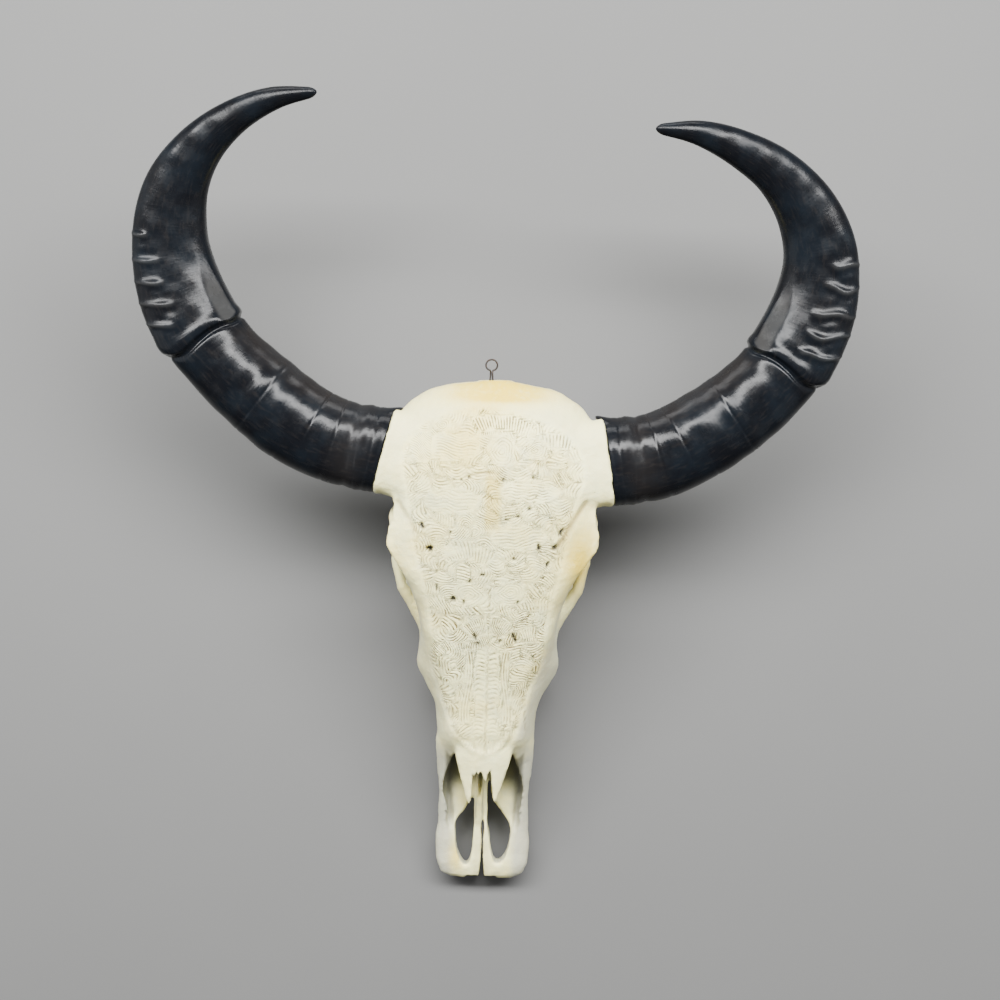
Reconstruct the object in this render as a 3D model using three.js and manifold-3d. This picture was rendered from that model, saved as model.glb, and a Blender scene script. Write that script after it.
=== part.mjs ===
import * as THREE from 'three';
import Module from 'manifold-3d';
import { mergeVertices } from 'three/addons/utils/BufferGeometryUtils.js';

// Carved water buffalo skull without its lower jaw, lying on its cheek teeth
// and the two processes behind the ears, forehead up. Millimetres. Y runs
// from the muzzle (0) to the crest, X to the skull's left and right, Z up
// from the surface that it lies on.

const GAP = 0.3;                 // clear gap between touching pieces
const SKULL_SIDES = 28;          // points round one section of the head
const SKULL_STEPS = 30;          // sections along the head
const SMOOTHING = 0.7;          // edges finer than this are merged
const HORN_SIDES = 14;
const HORN_STEPS = 36;

// Sections of the head from the nasal notch to the crest:
// y, top height, half width and height of the top's edge, half width and
// height of the widest part, half width and height of the underside.
const HEAD = [
  [112, 62, 30, 57, 45.5, 46, 34, 26],
  [124, 78, 31, 70, 47, 53, 37, 23],
  [138, 96, 34, 87, 48, 58, 39, 21],
  [152, 106, 37, 97, 49, 60, 40, 20],
  [188, 118, 42, 109, 53, 62, 46, 18],
  [206, 124, 45, 114, 62, 60, 51, 18],
  [222, 130, 48, 120, 71, 58, 55, 18],
  [246, 139, 54, 129, 69, 70, 57, 18],
  [272, 149, 61, 138, 67, 88, 57, 19],
  [292, 157, 69, 145, 73, 116, 56, 20],
  [318, 167, 79, 154, 85, 136, 54, 24],
  [348, 177, 94, 160, 98, 146, 35, 32],
  [378, 187, 92, 167, 97, 150, 35, 34],
  [405, 193, 88, 171, 93, 148, 38, 33],
  [432, 194, 86, 172, 91, 144, 42, 30],
  [456, 191, 84, 168, 90, 138, 45, 30],
  [474, 185, 78, 162, 86, 130, 46, 36],
  [488, 177, 66, 156, 72, 130, 40, 58],
  [498, 168, 45, 153, 50, 134, 28, 86],
  [504, 159, 14, 152, 17, 142, 10, 118]
];

// Muzzle plate: y, top height, half width, bottom height.
const MUZZLE = [
  [0, 24, 30, 15],
  [4, 28, 39, 12],
  [12, 32, 45, 10],
  [32, 36, 48.5, 11],
  [60, 42, 47, 15],
  [90, 53, 46, 19],
  [118, 66, 47, 22],
  [150, 82, 47.5, 24]
];

// Horn centre lines, each from the collar to the tip, with the width in
// the plane of the forehead and the thickness across it.
const HORN_LEFT = [
  [-103.5, 434, 148, 80, 58],
  [-148, 442, 145, 82, 60],
  [-187, 460, 143, 83, 61],
  [-223, 487, 142, 82, 61],
  [-256, 516, 142, 78, 59],
  [-284, 550, 143, 79, 58],
  [-302, 589, 147, 77, 54],
  [-309, 630, 154, 70, 50],
  [-303, 671, 164, 61, 43],
  [-281, 706, 177, 46, 35],
  [-248, 732, 191, 33, 27],
  [-209, 748, 205, 22, 20],
  [-168, 752, 218, 9, 9]
];
const HORN_RIGHT = [
  [109, 429.5, 148, 82, 58],
  [153, 437, 145, 84, 60],
  [191, 457, 143, 82, 61],
  [227, 483, 142, 78, 60],
  [258, 513, 142, 74, 58],
  [283, 548, 143, 78, 58],
  [298.5, 587, 147, 77, 54],
  [300.5, 629, 154, 69, 50],
  [286, 667, 164, 60, 43],
  [257, 698, 177, 47, 35],
  [220, 717, 191, 36, 28],
  [179, 728, 205, 24, 21],
  [137, 728, 218, 9, 9]
];

// Growth ridges on the outer half of each horn and the step below them,
// as a share of the horn's length.
const RIDGES_LEFT = [0.44, 0.475, 0.51, 0.545, 0.585];
const RIDGES_RIGHT = [0.42, 0.455, 0.49, 0.53, 0.565];
const RIDGE_HEIGHT = 2.6;
const STEP_LEFT = 0.38;
const STEP_RIGHT = 0.36;
const STEP_DEPTH = 3.4;
const COLLAR_ANGLE = { left: 0.24, right: 0.16 };
const HORN_SECTIONS = [[0, 0], [0.22, 0.35], [0.76, 0.61], [1, 1]];

// Cheek teeth of one side: name, length, width.
const TEETH = [
  ['premolar_1', 17, 15],
  ['premolar_2', 20, 18],
  ['premolar_3', 20, 20],
  ['molar_1', 26, 22],
  ['molar_2', 30, 24],
  ['molar_3', 32, 23]
];
const TOOTH_START = 165;
const TOOTH_TOP = 34;

const wasm = await Module();
wasm.setup();

function solid(geometry) {
  const plain = geometry.index ? geometry : mergeVertices(geometry);
  plain.deleteAttribute('normal');
  plain.deleteAttribute('uv');
  const merged = mergeVertices(plain, 1e-3);
  const position = merged.getAttribute('position');
  const index = Uint32Array.from(merged.index.array);
  const a = new THREE.Vector3();
  const b = new THREE.Vector3();
  const c = new THREE.Vector3();
  let volume = 0;
  for (let i = 0; i < index.length; i += 3) {
    a.fromBufferAttribute(position, index[i]);
    b.fromBufferAttribute(position, index[i + 1]);
    c.fromBufferAttribute(position, index[i + 2]);
    volume += a.dot(b.cross(c));
  }
  if (volume < 0) {
    index.reverse();
  }
  const vertProperties = Float32Array.from(position.array);
  return new wasm.Manifold(new wasm.Mesh({ numProp: 3, vertProperties, triVerts: index }));
}

function toGeometry(body) {
  const mesh = body.getMesh();
  const geometry = new THREE.BufferGeometry();
  const position = new THREE.BufferAttribute(Float32Array.from(mesh.vertProperties), 3);
  geometry.setAttribute('position', position);
  geometry.setIndex(new THREE.BufferAttribute(Uint32Array.from(mesh.triVerts), 1));
  return geometry;
}

// A closed body along a path: place() gives the point for the share r from
// the section's middle to its edge, the angle round it and the share along.
function loft(sides, steps, place) {
  const geometry = new THREE.CylinderGeometry(1, 1, 1, sides, steps);
  const position = geometry.getAttribute('position');
  for (let i = 0; i < position.count; i += 1) {
    const x = position.getX(i);
    const z = position.getZ(i);
    const r = Math.min(1, Math.hypot(x, z));
    const p = place(r, Math.atan2(x, z), position.getY(i) + 0.5);
    position.setXYZ(i, p.x, p.y, p.z);
  }
  return geometry;
}

function table(rows) {
  const keys = rows.map((row) => row[0]);
  const values = rows.flatMap((row) => row.slice(1));
  const reader = new THREE.CubicInterpolant(keys, values, rows[0].length - 1);
  return (key) => Array.from(reader.evaluate(THREE.MathUtils.clamp(key, keys[0], keys.at(-1))));
}

// One section of the head as a closed curve, from the middle of the
// underside round one side to the top and back down the other.
function headSection([top, edgeW, edgeZ, wideW, wideZ, underW, underZ]) {
  const half = [
    [underW * 0.6, underZ],
    [underW, underZ + 5],
    [wideW, wideZ],
    [edgeW, edgeZ],
    [edgeW * 0.52, edgeZ + (top - edgeZ) * 0.8]
  ];
  const points = [[0, underZ + 1], ...half, [0, top]];
  const back = half.map(([x, z]) => [-x, z]).reverse();
  const ring = [...points, ...back].map(([x, z]) => new THREE.Vector3(x, 0, z));
  return new THREE.CatmullRomCurve3(ring, true, 'centripetal');
}

function headBody() {
  const read = table(HEAD);
  const first = HEAD[0][0];
  const last = HEAD.at(-1)[0];
  const cache = new Map();
  const section = (y) => {
    if (!cache.has(y)) {
      cache.set(y, headSection(read(y)));
    }
    return cache.get(y);
  };
  return solid(loft(SKULL_SIDES, SKULL_STEPS, (r, angle, v) => {
    const y = first + (last - first) * Math.round(v * SKULL_STEPS) / SKULL_STEPS;
    const values = read(y);
    const share = (angle / (2 * Math.PI) + 1) % 1;
    const edge = section(y).getPoint(share);
    const middle = new THREE.Vector3(0, 0, (values[0] + values[6]) / 2);
    const p = middle.lerp(edge, r);
    return new THREE.Vector3(p.x, y, p.z);
  }));
}

function ball(x, y, z, rx, ry, rz, detail = 14) {
  const geometry = new THREE.SphereGeometry(1, detail, Math.round(detail * 0.6));
  geometry.scale(rx, ry, rz);
  geometry.translate(x, y, z);
  return solid(geometry);
}

// A rod with an oval section along a smooth line through points that each
// carry x, y, z, half width across and half height.
function rod(points, sides, steps, tall = new THREE.Vector3(0, 0, 1)) {
  const curve = new THREE.CatmullRomCurve3(points.map((p) => new THREE.Vector3(p[0], p[1], p[2])));
  const last = points.length - 1;
  const size = table(points.map((p, i) => [i, p[3], p[4]]));
  return solid(loft(sides, steps, (r, angle, v) => {
    const centre = curve.getPoint(v);
    const along = curve.getTangent(v);
    const across = new THREE.Vector3().crossVectors(along, tall).normalize();
    const up = new THREE.Vector3().crossVectors(across, along).normalize();
    const [halfWidth, halfHeight] = size(v * last);
    centre.addScaledVector(across, r * halfWidth * Math.cos(angle));
    return centre.addScaledVector(up, r * halfHeight * Math.sin(angle));
  }));
}

// A straight-sided block between two heights from an outline in plan.
function plate(outline, z0, z1) {
  const shape = new THREE.Shape(outline.map(([x, y]) => new THREE.Vector2(x, y)));
  const geometry = new THREE.ExtrudeGeometry(shape, { depth: z1 - z0, bevelEnabled: false });
  geometry.translate(0, 0, z0);
  return solid(geometry);
}

function smoothPlate(outline, z0, z1, count) {
  const curve = new THREE.CatmullRomCurve3(
    outline.map(([x, y]) => new THREE.Vector3(x, y, 0)), true, 'centripetal');
  const points = curve.getPoints(count).slice(0, -1);
  return plate(points.map((p) => [p.x, p.y]), z0, z1);
}

function mirrored(points, side) {
  return points.map((p) => [side * p[0], ...p.slice(1)]);
}

function join(bodies) {
  return bodies.reduce((sum, body) => sum.add(body));
}

function muzzleBody() {
  const read = table(MUZZLE);
  const last = MUZZLE.at(-1)[0];
  return solid(loft(18, 11, (r, angle, v) => {
    const y = last * v ** 1.5;
    const [top, halfWidth, bottom] = read(y);
    const middle = (top + bottom) / 2;
    const c = Math.cos(angle);
    const s = Math.sin(angle);
    const x = halfWidth * Math.sign(s) * Math.abs(s) ** 0.5;
    const z = (top - bottom) / 2 * Math.sign(c) * Math.abs(c) ** 0.8;
    return new THREE.Vector3(r * x, y, middle + r * z);
  }));
}

// The two nasal bones as one plate that ends in four prongs.
function nasalPlate() {
  const outline = [
    [-31, 175], [-28, 140], [-22, 112], [-14.5, 91], [-12, 93], [-9.5, 108], [-6.5, 119],
    [0, 125], [4, 117], [7, 106], [10.5, 92.5], [13.5, 92], [20, 116], [27, 140], [31, 175]
  ];
  const block = plate(outline, 60, 140);
  const skin = solid(loft(16, 6, (r, angle, v) => {
    const y = 88 + 90 * v;
    const crown = 86.5 + 24.5 * v;
    const x = 33 * Math.sin(angle);
    const z = 4.5 * Math.cos(angle) - 11 * (x / 33) ** 2;
    return new THREE.Vector3(r * x, y, crown + r * z);
  }));
  return skin.intersect(block);
}

function noseCavity() {
  return solid(loft(16, 8, (r, angle, v) => {
    const y = 64 + 140 * v;
    const halfWidth = 35 - 13 * v;
    const floor = 31 + 14 * v;
    const roof = 84 + 12 * v;
    const s = Math.sin(angle);
    const c = Math.cos(angle);
    const x = halfWidth * Math.sign(s) * Math.abs(s) ** 0.7;
    const z = (roof - floor) / 2 * Math.sign(c) * Math.abs(c) ** 0.8;
    return new THREE.Vector3(r * x, y, (roof + floor) / 2 + r * z);
  }));
}

function noseNotches() {
  const left = [
    [-29, 139], [-35, 122], [-41, 101], [-38, 90], [-34, 80], [-34, 66], [-12, 66],
    [-15, 90], [-22, 111]
  ];
  const right = [
    [26.5, 141], [33, 124], [38, 101], [37, 88], [34, 74], [34, 66], [12, 66],
    [14, 90], [20, 115]
  ];
  const front = [[-34, 67], [34, 67], [30, 96], [10, 126], [-10, 126], [-30, 96]];
  const open = plate(front, 46, 82);
  return join([plate(left, 34, 140), plate(right, 34, 140), open]);
}

function palateHoles() {
  const left = [[-10.5, 82], [-19, 72], [-28, 60], [-27, 39], [-16, 15], [-10, 24], [-10, 50]];
  const right = [[6.5, 100], [9, 82], [20, 70], [28, 55], [26, 38], [17, 17], [10, 32], [6, 60]];
  const slit = [[-0.9, -5], [0.9, -5], [0.7, 62], [-0.7, 62]];
  return join([
    smoothPlate(left, -10, 70, 20),
    smoothPlate(right, -10, 70, 20),
    plate(slit, -10, 60)
  ]);
}

function hornCore(side, points) {
  const base = points[0];
  const angle = side < 0 ? COLLAR_ANGLE.left : COLLAR_ANGLE.right;
  const out = new THREE.Vector3(side * Math.cos(angle), Math.sin(angle), 0);
  const end = new THREE.Vector3(base[0], base[1], base[2]);
  const along = new THREE.Vector3(-out.y, out.x, 0).multiplyScalar(side);
  return solid(loft(18, 6, (r, turn, v) => {
    const back = 52 * (1 - v);
    const swell = 1 + 0.13 * (1 - v) ** 2 + 0.035 * Math.exp(-(((v - 0.93) / 0.06) ** 2));
    const centre = end.clone().addScaledVector(out, -back - GAP);
    centre.z += 2 * (1 - v);
    const u = Math.cos(turn);
    const w = Math.sin(turn);
    const halfWidth = base[3] / 2 * swell * Math.sign(u) * Math.abs(u) ** 0.86;
    const halfHeight = base[4] / 2 * swell * Math.sign(w) * Math.abs(w) ** 0.86;
    centre.addScaledVector(along, r * halfWidth);
    centre.z += r * halfHeight;
    return centre;
  }));
}

function eyeRim(side) {
  const ring = [];
  for (let i = 0; i < 12; i += 1) {
    const a = i / 12 * 2 * Math.PI;
    const up = Math.sin(a);
    const lean = 88 + 4 * up + 5 * Math.cos(a);
    ring.push(new THREE.Vector3(side * lean, 343 + 34 * Math.cos(a), 114 + 31 * up));
  }
  const curve = new THREE.CatmullRomCurve3(ring, true);
  const shape = new THREE.Shape();
  shape.absellipse(0, 0, 7, 6, 0, 2 * Math.PI, false, 0);
  const geometry = new THREE.ExtrudeGeometry(shape, { steps: 18, extrudePath: curve, curveSegments: 3 });
  return solid(geometry);
}

function cheekArch(side) {
  return rod(mirrored([
    [52, 240, 60, 8, 14], [61, 262, 64, 9, 14], [75, 284, 71, 9, 13], [86, 303, 77, 8, 12],
    [92, 330, 80, 6, 12], [93, 362, 82, 5, 11], [91, 396, 84, 5, 10], [81, 428, 84, 6, 10],
    [66, 450, 80, 9, 12], [44, 460, 74, 12, 14]
  ], side), 8, 18);
}

function hollows(side) {
  return join([
    ball(side * 112, 345, 113, 68, 29, 27, 14),
    ball(side * 96, 412, 92, 50, 42, 42, 12),
    ball(side * 78, 366, 50, 38, 50, 36, 10)
  ]);
}

function rearProcess(side) {
  return rod(mirrored([
    [50, 462, 78, 17, 15], [50, 466, 52, 14, 14], [49, 470, 28, 10, 12], [47, 472, 8, 7, 9],
    [47, 472, 0, 6, 8]
  ], side), 10, 8, new THREE.Vector3(0, 1, 0));
}

function underside() {
  const palate = solid(loft(12, 8, (r, angle, v) => {
    const y = 80 + 232 * v;
    const halfWidth = 24 + 12 * v;
    const rise = 12;
    return new THREE.Vector3(r * halfWidth * Math.sin(angle), y, 16 + r * rise * Math.cos(angle));
  }));
  return join([
    palate,
    ball(0, 335, 48, 15, 42, 24, 12),
    ball(0, 500, 62, 17, 26, 17, 14)
  ]);
}

function pits() {
  const list = [
    [-62, 345, 3.4], [-69, 364, 2], [-70, 390, 2.2], [62, 359, 2.4], [56, 345, 2.6],
    [42, 332, 2.2], [48, 314, 2.4], [-36, 305, 2.2], [-8, 320, 2], [-52, 352, 2]
  ];
  const read = table(HEAD);
  return join(list.map(([x, y, radius]) => {
    const [top, edgeW, edgeZ] = read(y);
    const height = top - (top - edgeZ) * (x / edgeW) ** 2;
    const geometry = new THREE.ConeGeometry(radius * 1.5, 14, 6);
    geometry.rotateX(-Math.PI / 2);
    geometry.translate(x, y, height - 1.5);
    return solid(geometry);
  }));
}

function toothPlaces() {
  const places = [];
  let start = TOOTH_START;
  for (const [name, length, width] of TEETH) {
    const y = start + length / 2;
    places.push({ name, length, width, y, x: 33 + (y - TOOTH_START) * 0.105 });
    start += length;
  }
  return places;
}

// A tooth with its worn flat face on the ground: two rounded lobes.
function toothBody({ length, width, x, y }, side, grow, top) {
  return solid(loft(10, 2, (r, angle, v) => {
    const z = -grow * 4 + (top + grow * 5) * v;
    const spread = 1 - 0.12 * v;
    const s = Math.sin(angle);
    const c = Math.cos(angle);
    const across = (width / 2 * spread - GAP + grow) * Math.sign(c) * Math.abs(c) ** 0.6;
    const along = (length / 2 - 2 * GAP + grow) * Math.sign(s) * Math.abs(s) ** 0.7;
    return new THREE.Vector3(side * (x + r * across), y + r * along, z);
  }));
}

function hornBody(points, side, ridges, step) {
  const curve = new THREE.CatmullRomCurve3(points.map((p) => new THREE.Vector3(p[0], p[1], p[2])));
  const last = points.length - 1;
  const size = table(points.map((p, i) => [i, p[3], p[4]]));
  const flatEnd = side < 0 ? COLLAR_ANGLE.left : COLLAR_ANGLE.right;
  const bump = (t, at, wide) => Math.exp(-(((t - at) / wide) ** 2));
  return solid(loft(HORN_SIDES, HORN_STEPS, (r, angle, level) => {
    const from = HORN_SECTIONS.findLastIndex(([key], i) => key <= level && i < 3);
    const [a, va] = HORN_SECTIONS[from];
    const [b, vb] = HORN_SECTIONS[from + 1];
    const v = THREE.MathUtils.clamp(va + (vb - va) * (level - a) / (b - a), 0, 1);
    const centre = curve.getPoint(v);
    const along = curve.getTangent(v);
    const start = new THREE.Vector3(side * Math.cos(flatEnd), Math.sin(flatEnd), 0);
    along.lerp(start, Math.max(0, 1 - v * 12)).normalize();
    const outer = new THREE.Vector3(side * along.y, -side * along.x, 0).normalize();
    const up = new THREE.Vector3().crossVectors(outer, along).multiplyScalar(-side).normalize();
    const [width, thick] = size(v * last);
    const u = Math.cos(angle);
    const w = Math.sin(angle);
    const blunt = 0.8 + 0.2 * v;
    let half = width / 2 * Math.sign(u) * Math.abs(u) ** blunt;
    let rise = thick / 2 * Math.sign(w) * Math.abs(w) ** blunt;
    const inner = Math.max(0, -u);
    rise *= 1 - 0.3 * inner * inner;
    half *= w < 0 ? 1 - 0.16 * w * w : 1;
    const outside = THREE.MathUtils.smoothstep(u, -0.1, 0.45);
    let relief = 0;
    for (const at of ridges) {
      relief += RIDGE_HEIGHT * outside * bump(v, at, 0.011);
    }
    const risen = THREE.MathUtils.smoothstep(v, step, step + 0.012);
    const faded = 1 - THREE.MathUtils.smoothstep(v, step + 0.02, step + 0.2);
    relief += STEP_DEPTH * risen * faded * (0.75 + 0.25 * u);
    relief += 1.4 * bump(v, 0.015, 0.02) - 1.2 * bump(v, 0.05, 0.008);
    const shape = Math.hypot(half, rise) || 1;
    centre.addScaledVector(outer, r * half * (1 + relief / shape));
    return centre.addScaledVector(up, r * rise * (1 + relief / shape));
  }));
}

function hangingLoop() {
  const points = [
    [-1.5, 494, 158], [-1.6, 502, 158.5], [-4.6, 510, 159], [-5.6, 517, 159], [0, 523, 159],
    [5.6, 517, 159], [4.6, 510, 159], [1.6, 502, 158.5], [1.5, 494, 158]
  ];
  return points.map(([x, y, z]) => new THREE.Vector3(x - 4, y, z));
}

function wire(radius) {
  const curve = new THREE.CatmullRomCurve3(hangingLoop());
  const shape = new THREE.Shape();
  shape.absarc(0, 0, radius, 0, 2 * Math.PI, false);
  return solid(new THREE.ExtrudeGeometry(shape, { steps: 18, extrudePath: curve, curveSegments: 3 }));
}

function skull() {
  let body = join([
    headBody(), muzzleBody(),
    hornCore(-1, HORN_LEFT), hornCore(1, HORN_RIGHT)
  ]);
  body = body.subtract(join([hollows(-1), hollows(1), underside()]));
  body = join([
    body, eyeRim(-1), eyeRim(1), cheekArch(-1), cheekArch(1),
    rearProcess(-1), rearProcess(1),
    ball(-22, 478, 42, 16, 19, 21, 10), ball(22, 478, 42, 16, 19, 21, 10)
  ]);
  body = body.subtract(ball(0, 502, 60, 13, 24, 14, 12));
  body = body.subtract(noseCavity()).subtract(noseNotches());
  body = body.add(nasalPlate());
  const bar = rod([[-4, 60, 34, 4, 9], [-4, 90, 44, 3.5, 14], [-3, 126, 56, 3.5, 22],
    [0, 180, 62, 4, 24]], 8, 8);
  body = body.add(bar);
  return body.simplify(SMOOTHING).subtract(palateHoles()).subtract(pits());
}

const group = new THREE.Group();
const materials = {
  bone: { color: 0xe9e3ca, roughness: 0.75, metalness: 0 },
  horn: { color: 0x14171b, roughness: 0.25, metalness: 0 },
  tooth: { color: 0xd9cfae, roughness: 0.45, metalness: 0 },
  wire: { color: 0x2b2a28, roughness: 0.5, metalness: 0.6 }
};

function add(name, body, look) {
  const mesh = new THREE.Mesh(toGeometry(body), new THREE.MeshStandardMaterial(materials[look]));
  mesh.name = name;
  group.add(mesh);
}

let head = skull();
for (const [word, side] of [['left', -1], ['right', 1]]) {
  for (const place of toothPlaces()) {
    head = head.subtract(toothBody(place, side, GAP, TOOTH_TOP));
    add(`${place.name}_${word}`, toothBody(place, side, 0, TOOTH_TOP), 'tooth');
  }
}
head = head.subtract(wire(0.8 + GAP));
add('skull', head, 'bone');
add('horn_sheath_left', hornBody(HORN_LEFT, -1, RIDGES_LEFT, STEP_LEFT), 'horn');
add('horn_sheath_right', hornBody(HORN_RIGHT, 1, RIDGES_RIGHT, STEP_RIGHT), 'horn');
add('hanging_wire', wire(0.8), 'wire');

const box = new THREE.Box3().setFromObject(group);
const centre = box.getCenter(new THREE.Vector3());
group.children.forEach((mesh) => mesh.geometry.translate(-centre.x, -centre.y, -box.min.z));

export default group;
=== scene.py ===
"""Carved water buffalo skull with both horns, lying on its cheek teeth.

Lengths are in millimetres in the functions and in metres in the meshes.
The working frame has y 0 at the muzzle tip, y up towards the crest, x 0 at
the skull's middle and z 0 at the surface that it lies on; at_place() moves it
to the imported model.
"""
import functools
import math

import bpy
import numpy as np
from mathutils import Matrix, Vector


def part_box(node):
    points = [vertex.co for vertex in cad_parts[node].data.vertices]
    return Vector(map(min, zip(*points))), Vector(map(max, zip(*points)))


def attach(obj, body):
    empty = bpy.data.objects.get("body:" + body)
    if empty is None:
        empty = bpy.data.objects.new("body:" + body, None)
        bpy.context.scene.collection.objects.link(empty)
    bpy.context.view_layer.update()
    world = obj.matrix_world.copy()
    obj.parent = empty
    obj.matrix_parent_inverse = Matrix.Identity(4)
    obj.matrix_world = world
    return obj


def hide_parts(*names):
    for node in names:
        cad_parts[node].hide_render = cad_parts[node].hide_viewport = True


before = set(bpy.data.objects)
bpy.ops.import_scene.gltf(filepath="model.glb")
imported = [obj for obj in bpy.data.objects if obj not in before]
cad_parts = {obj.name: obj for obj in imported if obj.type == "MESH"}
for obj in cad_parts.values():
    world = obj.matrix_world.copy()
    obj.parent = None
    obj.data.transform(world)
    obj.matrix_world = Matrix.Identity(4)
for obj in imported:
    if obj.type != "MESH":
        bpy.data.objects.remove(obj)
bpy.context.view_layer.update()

bl_info = {
    "name": "Carved Buffalo Skull",
    "version": (1, 0, 0),
    "blender": (4, 5, 0),
    "location": "3D View > Sidebar > Skull",
    "description": "Builds a carved buffalo skull with polished horns",
    "category": "Add Mesh",
}

MM = 0.001
FINE_SHARE = 0.66  # grid spacing over the carved part, as a share of the step
TALL_SHARE = 1.2  # the same upwards
HORN_GRID, QUICK_HORN_GRID = (720, 120), (240, 64)  # rings, points in a ring
TIP_ROWS, TIP_SHARE = 40, 0.025  # closer rings, and how much of the horn has them
CLEARANCE = 0.02  # lowest points above the surface
CORE_DEPTH = 52  # how far a horn core runs into the head
PLATE_END = 150  # y where the muzzle plate ends inside the face
FIRST_TOOTH = 165  # y of the front of the tooth row
SOCKET_TOP = 34  # z of the tooth roots' ends
FLOOR_HALF = 6.0  # metres
SKULL_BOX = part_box("skull")
ROW_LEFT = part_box("premolar_1_left")
ROW_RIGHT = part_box("premolar_1_right")
MIDDLE_X = (ROW_LEFT[0][0] + ROW_LEFT[1][0] + ROW_RIGHT[0][0] + ROW_RIGHT[1][0]) / 4
PLACE = np.array([MIDDLE_X, SKULL_BOX[0][1], 0.0])

# Sections of the head: y, top height, half width and height of the top's
# edge, half width and height of the widest part, half width and height below.
HEAD = np.array([
    [112, 66, 30, 61, 45.5, 46, 34, 26],
    [124, 77, 31, 70, 47, 53, 37, 23],
    [138, 91, 34, 83, 48, 58, 39, 21],
    [152, 106, 37, 97, 49, 60, 40, 20],
    [188, 118, 42, 109, 53, 62, 46, 18],
    [206, 124, 45, 114, 62, 60, 51, 18],
    [222, 130, 48, 120, 71, 58, 55, 18],
    [246, 139, 54, 129, 69, 70, 57, 18],
    [272, 149, 61, 138, 67, 88, 57, 19],
    [292, 157, 63, 147, 72, 108, 56, 20],
    [318, 167, 76, 156, 80, 130, 54, 24],
    [348, 177, 92, 160, 95, 146, 35, 32],
    [378, 187, 87, 167, 91, 150, 35, 34],
    [405, 193, 86, 171, 90, 148, 38, 33],
    [432, 194, 86, 172, 91, 144, 42, 30],
    [456, 191, 84, 168, 90, 138, 45, 30],
    [474, 185, 78, 162, 86, 130, 46, 36],
    [488, 177, 66, 156, 72, 130, 40, 58],
    [498, 168, 45, 153, 50, 134, 28, 86],
    [504, 159, 14, 152, 17, 142, 10, 118],
], float)

# Muzzle plate: y, top height, half width, bottom height.
MUZZLE = np.array([
    [0, 24, 30, 15], [4, 28, 39, 12], [12, 32, 45, 10], [32, 36, 48.5, 11],
    [60, 42, 47, 15], [90, 55, 46, 19], [118, 70, 47, 22], [150, 84, 47.5, 24],
], float)

# Horn centre lines from collar to tip: x, y, z, width, thickness.
HORN_LEFT = np.array([
    [-103.5, 434, 148, 80, 58], [-148, 442, 145, 82, 60], [-187.3, 459.4, 143, 84.5, 61],
    [-223.5, 486.4, 142, 83.5, 61], [-256.6, 515.4, 142, 79.5, 59], [-284, 550, 143, 79, 58],
    [-302, 589, 147, 77, 54], [-309, 630, 154, 70, 50], [-303, 671, 164, 61, 43],
    [-281, 706, 177, 46, 35], [-248, 732, 191, 33, 27], [-209, 747.6, 205, 22, 20],
    [-168, 751.7, 218, 9, 9],
], float)
HORN_RIGHT = np.array([
    [109, 429.5, 148, 82, 58], [153, 437, 145, 84, 60], [191.6, 455.8, 143, 84, 61],
    [228.4, 481.4, 142, 82, 60], [260, 511.4, 142, 79, 58], [283.6, 547.4, 143, 79, 58],
    [298.5, 587, 147, 77, 54], [300.5, 629, 154, 69, 50], [286, 667, 164, 60, 43],
    [257, 698, 177, 47, 35], [220, 717, 191, 36, 28], [179, 728, 205, 24, 21],
    [137, 728, 218, 9, 9],
], float)
# Angle of each collar's axis from x, in radians: -1 is left, 1 is right.
COLLAR_ANGLE = {-1: 0.24, 1: 0.16}
# Growth ridges: place along the horn, and how near the middle they start.
RIDGES = {-1: ((0.44, 0.3), (0.475, 0.12), (0.51, 0.2), (0.545, 0.12), (0.585, 0.4)),
          1: ((0.42, -0.05), (0.455, -0.1), (0.49, -0.15), (0.53, 0.0), (0.565, 0.1))}
# Place along each horn of the step where the ridged part begins.
STEPS = {-1: 0.38, 1: 0.36}

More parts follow.
